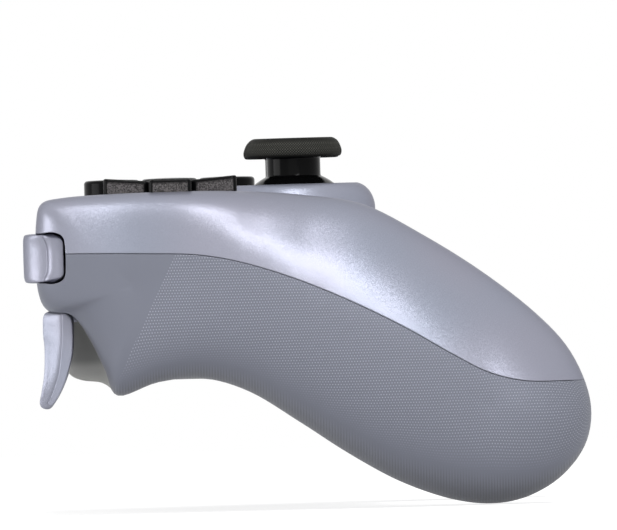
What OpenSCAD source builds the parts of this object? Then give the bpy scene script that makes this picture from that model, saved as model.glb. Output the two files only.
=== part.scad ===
// Wireless gamepad: two-shell housing with grips, two tilting thumbsticks, four direction keys,
// four round buttons, a click touchpad, bumpers and swinging triggers.
// +X is the player's right, +Y points away from the player, +Z up out of the face.
// The origin lies under the middle of the bounding box, at the height of the grip ends.

/* [Housing] */
// Width over both grips
body_w = 160; // [150:1:172]
// Length of the housing, front wall to grip ends
body_l = 103.8; // [98:0.2:110]
// Height of the flat face above the grip ends
face_h = 60.6; // [57:0.2:66]
// Wall thickness of both shells
wall = 2.2; // [1.8:0.1:2.6]
// Open joint between the two shells
seam_gap = 0.2; // [0.1:0.05:0.4]
// Distance from the middle to the thickest part of a grip
grip_x = 62; // [58:0.5:64]

/* [Thumbsticks] */
// Distance of a stick from the middle
stick_x = 27; // [25:0.5:28.5]
// Stick centre ahead of the middle
stick_y = 1.6; // [0.6:0.2:3]
// Diameter of the rubber cap
cap_d = 18.2; // [16:0.2:19]
// Thickness of the rubber cap
cap_t = 3.5; // [3:0.1:4]
// Height of the cap's top above the face
cap_rise = 9.5; // [9:0.1:12]
// Diameter of the stick's post
post_d = 10.2; // [8:0.2:11]
// Outer radius of the dome under the post
dome_r = 12.3; // [11.8:0.1:12.4]
// Diameter of the raised ring round a stick
boss_d = 30.6; // [29:0.2:32]
// Height of that ring above the face
boss_rise = 0.9; // [0.5:0.1:1.2]
// Diameter of the opening round a stick
stick_hole_d = 23; // [22:0.2:24]
// Diameter of the metal lever inside the post
lever_d = 3.4; // [3:0.1:3.8]

/* [Direction keys] */
// Distance of both key groups from the middle
cluster_x = 53; // [51:0.5:54]
// Key groups' centre behind the front wall
cluster_back = 25.7; // [25:0.1:26.6]
// Span over two opposite direction keys
dpad_span = 25.2; // [23:0.2:26]
// Width of a direction key
key_w = 8.2; // [7:0.1:9]
// Height of a key's outer edge above the face
key_rise = 2.8; // [2:0.1:3.4]
// Slope of a key's top towards the centre, in degrees
key_slope = 6; // [0:1:9]

/* [Round buttons] */
// Diameter of a round button
button_d = 10.8; // [9.6:0.2:11.4]
// Distance of a round button from its group's centre
button_ring = 11.1; // [10.8:0.1:11.6]
// Height of a button's top above the face
button_rise = 3; // [2:0.1:3.4]
// Travel of a round button and of a direction key
button_travel = 1.2; // [0.8:0.1:1.4]
// Clearance round every button, key and bumper in its opening
play = 0.3; // [0.2:0.05:0.4]

/* [Touchpad and small buttons] */
// Width of the touchpad
pad_w = 48; // [40:1:50]
// Length of the touchpad
pad_l = 27; // [22:0.5:28]
// Thickness of the touchpad plate
pad_t = 1.8; // [1.4:0.1:2.2]
// Diameter of the round home button
home_d = 7.6; // [6:0.2:9]
// Length of an option button
option_l = 6.4; // [5:0.2:7.4]
// Width of an option button
option_w = 3; // [2.4:0.1:3.4]
// Height of the small buttons above the face
small_rise = 0.4; // [0.2:0.1:0.8]

/* [Bumpers and triggers] */
// Width of a bumper and of a trigger
shoulder_w = 23; // [20:0.5:23.4]
// Height of a bumper
bumper_h = 9.1; // [8:0.1:10.4]
// Stand-out of a bumper in front of the housing
bumper_out = 2.2; // [1.6:0.1:2.4]
// Travel of a bumper
bumper_travel = 1; // [0.6:0.1:1]
// Pull of a trigger, in degrees
trigger_pull = 16; // [10:1:17]
// Diameter of the trigger's hinge pin
trigger_pin_d = 2; // [1.6:0.1:2.4]

/* [Inside] */
// Thickness of the main board
board_t = 1.2; // [1:0.1:1.6]
// Height of the main board's underside below the face
board_drop = 17.6; // [17.2:0.1:18]
// Width, length and thickness of the battery
battery = [50, 32, 8]; // [6:1:54]
// Diameter of a rumble motor
motor_d = 11; // [9:0.5:12]
// Length of a rumble motor
motor_l = 14; // [11:0.5:14.5]
// Radius of the motor's off-centre weight
weight_r = 7.5; // [6:0.25:8.5]
// Thread diameter of the housing screws
screw_d = 2.4; // [2:0.1:2.6]
// Bore of the headset socket
jack_d = 3.6; // [3.5:0.05:3.7]

/* [Hidden] */

paint = "#B4B6C6";
paint_low = "#8E8F9C";
well_grey = "#6E6F74";
jet = "#161618";
key_grey = "#3A3A3C";
rubber = "#1E1E20";
steel = "#B9BBBE";
board_green = "#1F5A3C";
clear_silicone = "#C9CCD2";
tiny = 0.01;

// The outlines below are drawn for a housing of this length, with its face at this height.
// A longer housing stretches them; a higher one stretches the grips and lifts the middle body.
drawn_l = 103.8;
drawn_h = 60.6;
ky = body_l / drawn_l;
kz = face_h / drawn_h;
middle_lift = face_h - drawn_h;

// Outline of a grip seen from the side, and of the middle body, as matching [y, z] points:
// face first, from front to rear, then the underside back to the front wall
grip_side = [
    [50.7, 55.4], [49.6, 59], [45.6, 60], [38, 60.4], [25, 60.6], [12, 60.3], [0, 59.2], [-11, 57.2],
    [-22, 51.2], [-33, 43.9], [-43, 35.7], [-49.4, 28.2], [-52.8, 19.2], [-52, 11.4], [-47.5, 5.2],
    [-41, 1.3], [-34, 0], [-26, 1.1], [-16.5, 4.7], [-7.2, 10.1], [2, 16.4], [11.3, 22.4],
    [20, 25.2], [28.5, 24.7], [36.2, 22.4], [38.6, 27.5], [41.2, 33.2], [44.4, 37.8], [49, 38.9],
    [50.7, 42.6], [50.9, 49]
];
middle_side = [
    [50.7, 55.4], [49.6, 59], [45.6, 60], [38, 60.4], [25, 60.6], [12, 60.3], [2, 59.5], [-6, 58.2],
    [-11.6, 56.2], [-14.8, 53.4], [-16.2, 50.2], [-16.6, 46.8], [-16.3, 43.4], [-15.3, 40.2],
    [-13.6, 37.3], [-11.2, 34.7], [-8.3, 32.3], [-4.8, 30.1], [-0.7, 28.2], [4, 26.7], [9.5, 25.6],
    [15.5, 25], [21.5, 25], [28.5, 25], [36.5, 25], [43, 25.4], [46, 27.6], [47.2, 32.6],
    [48.6, 38], [50, 43], [50.9, 49]
];
// Middle line of a grip, as z at each y
grip_core = [[-34, 18], [-22, 26.5], [-12, 31], [0, 37], [12, 42], [25, 43], [33, 43]];
core_back = -34;
core_front = 33;
middle_core = [-6, 36, 42];
middle_low = 25;
// The joint between the shells seen from the side, from the front to the grip ends
seam = [
    [60, 49.5], [45, 49.4], [30, 49], [20.5, 48.5], [12, 46.8], [2, 43.4], [-8, 39], [-18, 33.8],
    [-27, 28.4], [-33.5, 24.9], [-40, 23.1], [-47, 22.8], [-60, 23]
];
// Outline points that form the trigger well, and how deep the shell is filled behind it
well_first = 24;
well_last = 29;
well_fill = 2.6;
// Where the middle body turns into a grip, at the rear and at the trigger well
grip_start = 28;
grip_full = 58;
well_start = grip_x - shoulder_w - 3.4;
well_full = grip_x - shoulder_w - 0.9;
// Roundness of the outer side: 2 is an ellipse, more is fuller
fullness = 2.4;
widest_y = -8;
side_bow = 0.00416;

function scaled(pts) = [for (p = pts) [p[0] * ky, p[1] * kz]];
function lifted(pts) = [for (p = pts) [p[0] * ky, p[1] + middle_lift]];
// Point of a rounded curve through p1 and p2, at t from 0 to 1
function curve(p0, p1, p2, p3, t) =
    0.5 * (2 * p1 + (p2 - p0) * t + (2 * p0 - 5 * p1 + 4 * p2 - p3) * t * t
    + (3 * p1 - p0 - 3 * p2 + p3) * t * t * t);
function rounded_ring(pts, n) =
    let (m = len(pts))
    [for (i = [0:m - 1]) for (k = [0:n - 1])
        curve(pts[(i + m - 1) % m], pts[i], pts[(i + 1) % m], pts[(i + 2) % m], k / n)];
function rounded_line(pts, n) =
    let (m = len(pts) - 1)
    concat([for (i = [0:m - 1]) for (k = [0:n - 1])
        curve(pts[max(i - 1, 0)], pts[i], pts[i + 1], pts[min(i + 2, m)], k / n)], [pts[m]]);
function clamp(v, low, high) = max(low, min(high, v));
function ease(x, low, high) = let (u = clamp((x - low) / (high - low), 0, 1)) u * u * (3 - 2 * u);
// Share of the grip's outline at a distance x from the middle
function grip_share(x) =
    let (u = clamp((grip_full - x) / (grip_full - grip_start), 0, 1))
    pow(cos(90 * pow(u, 1.3)), 2);
function in_well(j) = j >= well_first - 0.5 && j <= well_last;
function share(x, j) = in_well(j) ? ease(x, well_start, well_full) : grip_share(x);
function half_width(y) = body_w / 2 - side_bow * pow(y - widest_y, 2);

// Rings with one and with two points to each drawn point: inside and outside
grip_rings = [for (n = [1, 2]) rounded_ring(scaled(grip_side), n)];
middle_rings = [for (n = [1, 2]) rounded_ring(lifted(middle_side), n)];

function core_of(p, x) =
    let (s = grip_share(x))
    let (yc = clamp(p[0] / ky, core_back, core_front))
    let (ym = clamp(p[0] / ky, middle_core[0], middle_core[1]))
    s * [yc * ky, lookup(yc, grip_core) * kz] + (1 - s) * [ym * ky, middle_core[2] + middle_lift];
// Point j of the cross-section at x, for the outside (inset 0) or the inside (inset = wall)
function section_point(x, j, n, inset) =
    let (jc = j / n)
    let (s = share(in_well(jc) ? x + inset : x - inset, jc))
    let (p = (1 - s) * middle_rings[n - 1][j] + s * grip_rings[n - 1][j])
    let (c = core_of(p, x))
    let (fill = jc >= well_first - 0.5 && jc <= well_last - 1 ? well_fill * s : 0)
    let (d = c - p)
    inset == 0 ? p : p + d * (inset + fill) / norm(d);
// Row of the outer side: angle a runs from 0 at the grip's thickest part to 90 at its edge
function side_point(a, j, n, inset) =
    let (p = section_point(grip_x, j, n, inset))
    let (c = core_of(p, grip_x))
    let (k = pow(cos(a), 2 / fullness))
    let (v = pow(sin(a), 2 / fullness))
    let (q = c + (p - c) * k)
    [grip_x + (half_width(c[0]) - inset - grip_x) * v, q[0], q[1]];
function row(x, n, inset) =
    [for (j = [0:len(grip_side) * n - 1]) let (p = section_point(abs(x), j, n, inset)) [x, p[0], p[1]]];
function side_row(a, s, n, inset) =
    [for (j = [0:len(grip_side) * n - 1]) let (p = side_point(a, j, n, inset)) [s * p[0], p[1], p[2]]];

mid_x = [0, 22, 29, 33, well_start, (well_start + well_full) / 2, well_full, 42.5, 46, 50, 55, grip_x];
side_a = [16, 32, 47, 61, 74, 84];
// Solid through a list of matching rings of 3-D points, closed at both ends
module loft(rows) {
    n = len(rows[0]);
    last = (len(rows) - 1) * n;
    polyhedron(
        points = [for (r = rows) for (p = r) p],
        faces = concat(
            [for (i = [0:len(rows) - 2]) for (j = [0:n - 1])
                let (a = i * n + j, b = i * n + (j + 1) % n)
                each [[a, a + n, b], [b, a + n, b + n]]],
            [[for (j = [0:n - 1]) j]],
            [[for (j = [n - 1:-1:0]) last + j]]),
        convexity = 10);
}
// The whole housing as one solid, drawn in by inset all round, with n points to each drawn one
module body_form(inset, n) {
    m = len(mid_x);
    k = len(side_a);
    loft(concat(
        [for (i = [k - 1:-1:0]) side_row(side_a[i], -1, n, inset)],
        [for (i = [m - 1:-1:1]) row(-mid_x[i], n, inset)],
        [for (i = [0:m - 1]) row(mid_x[i], n, inset)],
        [for (i = [0:k - 1]) side_row(side_a[i], 1, n, inset)]));
}
// A shape drawn in the side view, carried from x0 to x1
module across(x0, x1) translate([x0, 0, 0]) rotate([90, 0, 90]) linear_extrude(x1 - x0) children();
// The right-hand shape for s = 1, its mirror image for s = -1
module on_side(s) mirror([s > 0 ? 0 : 1, 0, 0]) children();
module at(p) translate(p) children();
function face_z(y) = lookup(y / ky, [for (i = [2:7]) grip_side[i]]) * kz;
function seam_z(y) = lookup(y / ky, seam) * kz;

// Heights of the stack under the buttons
big = 200;
flange_t = 1.2;
flange_lip = 1;
flange_top = face_h - 6.8;
flange_low = flange_top - flange_t;
collar_t = 1.2;
collar_low = flange_top + 0.1;
dome_h = button_travel + 2.6;
dome_low = flange_low - dome_h;
membrane_t = 0.8;
plate_t = 1.5;
plate_top = dome_low - membrane_t;
plate_low = plate_top - plate_t;
board_low = face_h - board_drop;
board_top = board_low + board_t;
// Stick: pivot height from the cap, the post and the dome
cap_top = face_h + cap_rise;
cap_low = cap_top - cap_t;
pivot_z = face_h - 8.8;
dome_wall = 0.8;
dome_gap = 0.5;
boss_r = boss_d / 2;
hole_r = stick_hole_d / 2;
boss_top = face_h + boss_rise;
boss_low = face_h - 9;
boss_round = 4;
// Places on the face
front_y = 50.9 * ky;
cluster_y = front_y - cluster_back;
key_inner = 1.3;
key_round = 0.9;
flange_inner = 5.5 * dpad_span / 25.2;
pad_front = body_l * 0.4316;
pad_rear = pad_front - pad_l;
pad_lip = 1.5;
home_y = 3 * ky;
option_x = max(32, pad_w / 2 + 4 + option_w);
option_y = 34.2 * ky;
stem_gap = 0.6;
// Bumper and trigger, placed from the front wall and the face
bumper_z = face_h - 11.9;
shoulder_in = grip_x - shoulder_w;
bumper_end = grip_x + 6.6;
hinge_y = front_y - 9.4;
hinge_z = face_h - 18.1;
hub_r = 2.8;
hub_in = shoulder_in + 8.3;
hub_out = grip_x - 6.5;
ear_t = 1.5;
ear_r = 2.4;
running = 0.05;
well_play = 0.5;
tongue_z = bumper_z - 0.5;
tongue_t = 2;
rail_t = 1.2;
rail_y = hinge_y - 1.3;
rail_l = 4.2;
tongue_end = rail_y + bumper_travel + 0.1;
bracket_y = hinge_y - 4.7;
bracket_t = 1.5;
bracket_x = hub_in - ear_t - 0.3;
bracket_w = hub_out - hub_in + 2 * ear_t + 0.6;
// Inside the middle
battery_low = middle_low + middle_lift + wall + 1.8;
battery_y = 18 * ky;
tray_low = battery_low + battery[2] + 0.3;
tray_t = 1.5;
motor_x = body_w / 2 - 29.5;
motor_y = -33 * ky;
motor_z = 20 * kz;
weight_t = 5.6;
shaft_d = 1.5;
screw_spots = [[10, -4.2 * ky], [29.5, 41.5 * ky], [59, -13 * ky]];
screw_head_d = 4.4;
screw_head_t = 1.6;
screw_below = 8;
screw_above = 7;
column_r = 2.9;
tray_spots = [[27.5, -3 * ky], [27.5, 35.5 * ky]];
jack_z = board_low - 3.2;
jack_end = -16.2 * ky;
jack_r = 2.6;
jack_l = 13;
jack_neck = 6;
jack_w = 6.4;
port_w = 9;
port_t = 3.2;
port_l = 7.4;
port_z = board_top + port_t / 2;

module key_outline() {
    w = key_w / 2;
    offset(r = key_round, $fn = 16) offset(delta = -key_round)
    polygon([[-w, dpad_span / 2], [-w, key_inner + w], [0, key_inner], [w, key_inner + w],
        [w, dpad_span / 2]]);
}
// Openings of the face: the four keys, the round buttons, the sticks, the pad and small buttons
module key_spots() at([-cluster_x, cluster_y, 0]) for (a = [0:90:270]) rotate(a) children();
module button_spots() at([cluster_x, cluster_y, 0])
    for (a = [0:90:270]) rotate(a) at([0, button_ring, 0]) children();
module stick_spots() for (s = [-1, 1]) at([s * stick_x, stick_y, 0]) children();
module option_outline() hull()
    for (s = [-1, 1]) at([0, s * (option_l - option_w) / 2, 0]) circle(option_w / 2, $fn = 24);
module column(low, high) at([0, 0, low]) cylinder(high - low, r = column_r, $fn = 24);
module spots(list) for (p = list) for (s = [-1, 1])
    at([s * p[0], p[1], 0]) let ($y = p[1]) children();

module stick_ring() rotate_extrude($fn = 40)
    polygon(concat(
        [[0, boss_low], [boss_r, boss_low]],
        [for (a = [0:22.5:90])
            [boss_r - boss_round * (1 - cos(a)), boss_top - (boss_round + 1) * (1 - sin(a))]],
        [[0, boss_top]]));
// Room round a stick: straight at the opening, round where the dome swings
module stick_room() rotate_extrude($fn = 40)
    polygon(concat(
        [[0, pivot_z - 4], [dome_r + dome_gap, pivot_z - 4]],
        [for (a = [0:10:20]) (dome_r + dome_gap) * [cos(a), sin(a)] + [0, pivot_z]],
        [[hole_r, pivot_z + sqrt(pow(dome_r + dome_gap, 2) - hole_r * hole_r)],
            [hole_r, boss_top - 0.8], [hole_r + 0.8, boss_top + tiny], [0, boss_top + tiny]]));
module seam_side(up) across(-big, big) {
    line = rounded_line(scaled(seam), 3);
    edge = up ? big : -big;
    lift = up ? seam_gap / 2 : -seam_gap / 2;
    polygon(concat([for (p = line) [p[0], p[1] + lift]], [[-big / 2, edge], [big / 2, edge]]));
}
module pad_plate(grow) {
    steps = [0:3];
    y0 = pad_rear - grow;
    y1 = pad_front + grow;
    low = grow > 0 ? -big / 20 : -pad_t;
    high = grow > 0 ? big / 20 : 0;
    across(-pad_w / 2 - grow, pad_w / 2 + grow)
    polygon(concat(
        [for (i = steps) let (y = y0 + (y1 - y0) * i / 3) [y, face_z(y) + high]],
        [for (i = steps) let (y = y1 - (y1 - y0) * i / 3) [y, face_z(y) + low]]));
}
// Bumper seen from the side, from the front wall and its own middle height: whole, at the crease
// of its rounded corner, and at its outer end; y is 1 at the crown and -1 at the foot of its height
bumper_side = [
    [2.1, 0.84], [1.55, 0.95], [-1.2, 0.97], [-3.3, 1], [-4.9, 0.84], [-5.3, 0.42], [-5.3, -0.42],
    [-4.9, -0.84], [-3.3, -1], [-1.2, -0.97], [1.55, -0.95], [2.1, -0.84], [2.2, -0.45], [2.2, 0.45]
];
bumper_crease = [
    [-1.5, 0.9], [-1.75, 0.95], [-2.3, 0.96], [-3.4, 0.97], [-4.85, 0.82], [-5.3, 0.4], [-5.3, -0.4],
    [-4.85, -0.82], [-3.4, -0.97], [-2.3, -0.96], [-1.75, -0.95], [-1.5, -0.9], [-2.25, -0.45],
    [-2.25, 0.45]
];
bumper_tip = [
    [-4.2, 0.72], [-4.3, 0.75], [-4.45, 0.76], [-4.7, 0.76], [-5, 0.66], [-5.2, 0.34], [-5.2, -0.34],
    [-5, -0.66], [-4.7, -0.76], [-4.45, -0.76], [-4.3, -0.75], [-4.2, -0.72], [-4.35, -0.36],
    [-4.35, 0.36]
];
function bumper_flat(pts) =
    rounded_ring([for (q = pts) [q[0] * (q[0] > 0 ? bumper_out / 2.2 : 1) + front_y,
        q[1] * bumper_h / 2 + bumper_z]], 2);
function bumper_ring(pts, x) = [for (p = bumper_flat(pts)) [x, p[0], p[1]]];
// Trigger seen from the side, from its hinge: front edge down, round the tip, rear edge up
trigger_side = [
    [7.9, -4.1], [8.5, -7.3], [8.3, -11], [8.5, -15.5], [9.1, -19], [9.5, -21.1], [8.9, -22.1],
    [7.5, -22.2], [6, -21], [4.5, -18.3], [3.5, -15], [2.9, -11.5], [2.7, -7.5], [2.9, -5.1], [3.9, -3.9]
];
// The same points on the outer side, where a bevel has taken the front away
trigger_side_outer = [
    [4.8, -4.5], [4.9, -8.3], [5.2, -12], [5.7, -15.3], [6.5, -17.9], [7.4, -20.1], [7.9, -21.1],
    [7.3, -21.6], [6, -20.8], [4.6, -18.3], [3.6, -15], [3, -11.5], [2.8, -7.5], [3, -5.4], [3.8, -4.4]
];
function trigger_ring(pts, x) =
    [for (p = rounded_ring([for (q = pts) [q[0] + hinge_y, q[1] * kz + hinge_z]], 2)) [x, p[0], p[1]]];
module trigger_swing(grow) for (a = [0, 0.5, 1]) offset(delta = grow)
    translate([hinge_y, hinge_z]) rotate(-a * trigger_pull) children();
module arm_outline()
    polygon([[-1.2, -hub_r + 0.4], [2, -6 * kz], [6, -6 * kz], [6.4, -4.6], [hub_r * 0.7, 2]]);
module trigger_well() {
    across(shoulder_in - 0.4, grip_x + 0.4) trigger_swing(well_play)
        polygon([for (q = trigger_side) [q[0], q[1] * kz]]);
    across(hub_in - 0.4, hub_out + 0.4) trigger_swing(well_play) {
        arm_outline();
        circle(hub_r, $fn = 24);
    }
}
module bumper_pocket() {
    module grown() offset(delta = play) polygon(bumper_flat(bumper_side));
    across(shoulder_in - play, grip_x + 30) grown();
    across(shoulder_in - play, bumper_end + play) translate([-bumper_travel, 0]) grown();
}
// Room for the bracket, ears and tongue where they pass the walls
module bracket_room() {
    across(bracket_x - play, bracket_x + bracket_w + play)
        translate([hinge_y - 0.2, hinge_z]) circle(hub_r + play, $fn = 24);
    translate([bracket_x - play, bracket_y - 0.5, hinge_z - 2.8])
        cube([bracket_w + 2 * play, bracket_t + 8, bumper_z - hinge_z + 8]);
}
module upper_shell() color(paint) difference() {
    intersection() {
        union() {
            body_form(0, 2);
            stick_spots() stick_ring();
        }
        seam_side(true);
    }
    difference() {
        body_form(wall, 1);
        key_spots() at([0, 0, collar_low]) linear_extrude(big) offset(delta = play + collar_t) key_outline();
        button_spots() at([0, 0, collar_low]) cylinder(big, r = button_d / 2 + play + collar_t, $fn = 24);
        stick_spots() intersection() {
            stick_ring();
            at([0, 0, pivot_z + 1]) cylinder(big, r = boss_r, $fn = 40);
        }
        intersection() {
            spots(screw_spots) column(seam_z($y) - 1, big);
            seam_side(true);
        }
        // Ribs that stiffen the face, in front of the sticks
        for (x = [-12, 0, 12]) hull() for (y = [pad_rear - 4, pad_rear - 1.5])
            at([x, y, face_h - 8]) cylinder(big, r = 0.6, $fn = 13);
        for (x = [-44, -40, 40, 44]) hull() for (y = [cluster_y - 24, cluster_y - 15])
            at([x, y, face_h - 6]) cylinder(big, r = 0.6, $fn = 13);
    }
    key_spots() at([0, 0, boss_low]) linear_extrude(big) offset(delta = play) key_outline();
    button_spots() at([0, 0, boss_low]) cylinder(big, r = button_d / 2 + play, $fn = 32);
    stick_spots() stick_room();
    pad_plate(play);
    at([0, home_y, boss_low]) cylinder(big, r = home_d / 2 + play, $fn = 48);
    for (s = [-1, 1]) at([s * option_x, option_y, boss_low])
        linear_extrude(big) offset(delta = play) option_outline();
    spots(screw_spots) at([0, 0, seam_z($y) - 1]) cylinder(screw_above + 2, d = screw_d + 0.1, $fn = 24);
    for (s = [-1, 1]) on_side(s) {
        bumper_pocket();
        bracket_room();
    }
    at([0, jack_end - 3, jack_z]) rotate([-90, 0, 0]) cylinder(8, r = jack_r + 0.15, $fn = 32);
}
module lower_shell() color(paint_low) difference() {
    intersection() {
        body_form(0, 2);
        seam_side(false);
    }
    difference() {
        body_form(wall, 1);
        intersection() {
            union() {
                spots(screw_spots) column(0, big / 4);
                spots(tray_spots) column(0, tray_low - 0.1);
            }
            seam_side(false);
        }
        // Ledges under the battery and saddles under the motors
        for (y = [-10, 0, 10]) hull() for (x = [-battery[0] / 2 + 2, battery[0] / 2 - 2])
            at([x, battery_y + y, 0]) cylinder(battery_low - 0.1, r = 0.8, $fn = 13);
        for (s = [-1, 1]) on_side(s) for (x = [motor_x + 2.5, motor_x + motor_l - 3]) difference() {
            hull() for (y = [-4, 4]) at([x, motor_y + y, 0]) cylinder(motor_z - 2, r = 1, $fn = 13);
            at([x - 5, motor_y, motor_z]) rotate([0, 90, 0]) cylinder(10, d = motor_d + 0.1, $fn = 48);
        }
    }
    // Recesses and through holes of the screws
    spots(screw_spots) {
        at([0, 0, -1]) cylinder(seam_z($y) - screw_below + 1, d = screw_head_d + 0.4, $fn = 24);
        cylinder(big / 4, d = screw_d + 0.3, $fn = 24);
    }
    for (s = [-1, 1]) on_side(s) {
        bumper_pocket();
        trigger_well();
        bracket_room();
    }
    at([0, front_y - 5, port_z]) port_outline(0.3, 12);
}
module port_outline(grow, l) rotate([-90, 0, 0]) {
    w = port_w / 2 - port_t / 2;
    for (s = [-1, 1]) at([s * w, 0, 0]) cylinder(l, r = port_t / 2 + grow, $fn = 32);
    at([-w, -port_t / 2 - grow, 0]) cube([2 * w, port_t + 2 * grow, l]);
}
module touchpad() color(paint) {
    pad_plate(0);
    across(-pad_w / 2 + 3, pad_w / 2 - 3)
        let (f = face_z(pad_front), y = pad_front)
        polygon([[y - 4, f - pad_t + 0.3], [y - 4, f - wall - 1], [y + pad_lip, f - wall - 1],
            [y + pad_lip, f - wall - 0.3], [y - 0.2, f - wall - 0.3], [y - 0.2, f - pad_t + 0.3]]);
}
module home_button() color(jet) at([0, home_y, 0]) rotate_extrude($fn = 48) {
    top = face_z(home_y) + small_rise;
    low = face_z(home_y - home_d / 2 - flange_lip) - wall - 0.4;
    r = home_d / 2;
    polygon([[0, board_top + stem_gap], [1.5, board_top + stem_gap], [1.5, low - flange_t],
        [r + flange_lip, low - flange_t], [r + flange_lip, low], [r, low],
        [r, top - 0.4], [r - 0.4, top], [0, top]]);
}
module option_button(s) color(jet) at([s * option_x, option_y, 0]) {
    top = face_z(option_y) + small_rise;
    low = face_z(option_y) - wall - 0.4;
    at([0, 0, low - 0.5]) linear_extrude(top - low + 0.5) option_outline();
    at([-option_w / 2 - 0.7, -option_l / 2 - 0.7, low - flange_t])
        cube([option_w + 1.4, option_l + 1.4, flange_t]);
    at([0, 0, plate_top + stem_gap])
        cylinder(low - flange_t - plate_top - stem_gap + tiny, r = 1.2, $fn = 24);
}
module direction_key(a) color(key_grey) at([-cluster_x, cluster_y, 0]) rotate(a) {
    slopes = a % 180 == 0;
    high = face_h + key_rise - (slopes ? 0 : 0.5);
    difference() {
        at([0, 0, flange_low]) linear_extrude(high - flange_low) key_outline();
        at([-big / 2, dpad_span / 2, high])
            rotate([slopes ? key_slope : 0, 0, 0]) at([0, -big, 0]) cube(big);
    }
    at([-key_w / 2 - flange_lip, flange_inner, flange_low])
        cube([key_w + 2 * flange_lip, dpad_span / 2 + flange_lip - flange_inner, flange_t]);
}
module round_button(a) color(jet) at([cluster_x, cluster_y, 0]) rotate(a) at([0, button_ring, 0])
    rotate_extrude($fn = 48) {
        r = button_d / 2;
        top = face_h + button_rise;
        polygon([[0, flange_low], [r + flange_lip, flange_low], [r + flange_lip, flange_top],
            [r, flange_top], [r, top - 1], [r - 0.3, top - 0.45], [r - 1, top - 0.15],
            [r - 2.5, top], [0, top]]);
    }
module silicone_dome(x, y, a, d) color(clear_silicone) at([x, y, dome_low]) rotate(a) at([0, d, 0])
    rotate_extrude($fn = 32)
    polygon([[0, 0], [2.8, 0], [2.7, 0.7], [1.8, dome_h - 1], [1.8, dome_h], [0, dome_h]]);
module key_dome(a) silicone_dome(-cluster_x, cluster_y, a, (flange_inner + dpad_span / 2) / 2);
module button_dome(a) silicone_dome(cluster_x, cluster_y, a, button_ring);
module membrane(x, half) color(clear_silicone) at([x - half, cluster_y - half, plate_top])
    cube([2 * half, min(2 * half, plate_front - play - cluster_y + half), membrane_t]);
module key_membrane() membrane(-cluster_x, dpad_span / 2);
module button_membrane() membrane(cluster_x, button_ring + 3.2);
plate_rear = cluster_y - button_ring - 3.4;
plate_front = rail_y - 0.5;
board_front = bracket_y - 0.25;
module button_plate() color("#2B2C30") difference() {
    union() {
        at([-cluster_x - 12, plate_rear, plate_low])
            cube([2 * cluster_x + 24, plate_front - plate_rear, plate_t]);
        spots([[cluster_x - 10, plate_rear + 3], [cluster_x - 10, board_front - 3], [15, plate_rear + 4]])
            at([0, 0, board_top]) cylinder(plate_low - board_top + tiny, r = 2, $fn = 24);
    }
    spots(screw_spots) at([0, 0, plate_low - 1]) cylinder(plate_t + 2, r = column_r + 0.5, $fn = 24);
    for (s = [-1, 1]) stick_at(s) at([-housing_w / 2 - 0.5, -housing_w / 2 - 0.5, plate_low - 1])
        cube([housing_w + 1, housing_w + 1, plate_t + 2]);
}
module main_board() color(board_green) difference() {
    union() {
        at([-cluster_x + 2, -4 * ky, board_low]) cube([2 * cluster_x - 4, board_front + 4 * ky, board_t]);
        at([-8, board_front - 1, board_low]) cube([16, front_y - 4.2 - board_front + 1, board_t]);
        for (x = [-14, 4]) at([x, 20 * ky, board_top - tiny]) cube([9, 9, 1]);
    }
    spots(screw_spots) at([0, 0, board_low - 1]) cylinder(board_t + 2, r = column_r + 0.4, $fn = 24);
}
module battery_tray() color("#2B2C30") difference() {
    union() {
        at([-31, -7 * ky, tray_low]) cube([62, 46 * ky, tray_t]);
        spots(tray_spots) at([0, 0, tray_low]) cylinder(board_low - tray_low, r = 2.2, $fn = 24);
    }
    spots(screw_spots) at([0, 0, tray_low - 1]) cylinder(tray_t + 2, r = column_r + 0.5, $fn = 24);
    at([-jack_w / 2 - play, jack_end, tray_low - 1]) cube([jack_w + 2 * play, jack_l + 2, tray_t + 2]);
}
module battery_pack() color("#4A4D55") at([-battery[0] / 2, battery_y - battery[1] / 2, battery_low])
    union() {
        at([0, 2, 0]) cube([battery[0], battery[1] - 4, battery[2]]);
        at([2, 0, 1]) cube([battery[0] - 4, battery[1], battery[2] - 2]);
    }
housing_w = 15;
housing_wall = 0.8;
housing_top = pivot_z + 2.2;
yoke_y = 10;
yoke_x = 11;
yoke_t = 3.2;
block_x = 5.2;
block_y = 6.6;
block_t = 4;
arm_pin_r = 1;
block_pin_r = 0.8;
module stick_at(s) at([s * stick_x, stick_y, 0]) children();
module stick_housing(s) color(steel) stick_at(s) difference() {
    at([-housing_w / 2, -housing_w / 2, board_top]) cube([housing_w, housing_w, housing_top - board_top]);
    at([-housing_w / 2 + housing_wall, -housing_w / 2 + housing_wall, board_top + housing_wall])
        cube([housing_w - 2 * housing_wall, housing_w - 2 * housing_wall, big]);
    at([-big / 2, 0, pivot_z]) rotate([0, 90, 0]) cylinder(big, r = arm_pin_r + running);
}
module stick_yoke(s) color("#E8E8E4") stick_at(s) at([0, 0, pivot_z]) difference() {
    union() {
        at([-yoke_x / 2, -yoke_y / 2, -yoke_t / 2]) cube([yoke_x, yoke_y, yoke_t]);
        at([-housing_w / 2 + 0.1, 0, 0]) rotate([0, 90, 0]) cylinder(housing_w - 0.2, r = arm_pin_r);
    }
    at([-block_x / 2 - 0.7, -block_y / 2 - 0.4, -big / 2]) cube([block_x + 1.4, block_y + 0.8, big]);
    at([0, -big / 2, 0]) rotate([-90, 0, 0]) cylinder(big, r = block_pin_r + running);
}
module stick_pivot(s) color("#3C3C40") stick_at(s) at([0, 0, pivot_z]) difference() {
    union() {
        at([-block_x / 2, -block_y / 2, -block_t / 2]) cube([block_x, block_y, block_t]);
        at([0, -yoke_y / 2 + 0.1, 0]) rotate([-90, 0, 0]) cylinder(yoke_y - 0.2, r = block_pin_r);
    }
    at([0, 0, -big / 2]) cylinder(big, r = lever_d / 2 + running);
}
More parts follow.
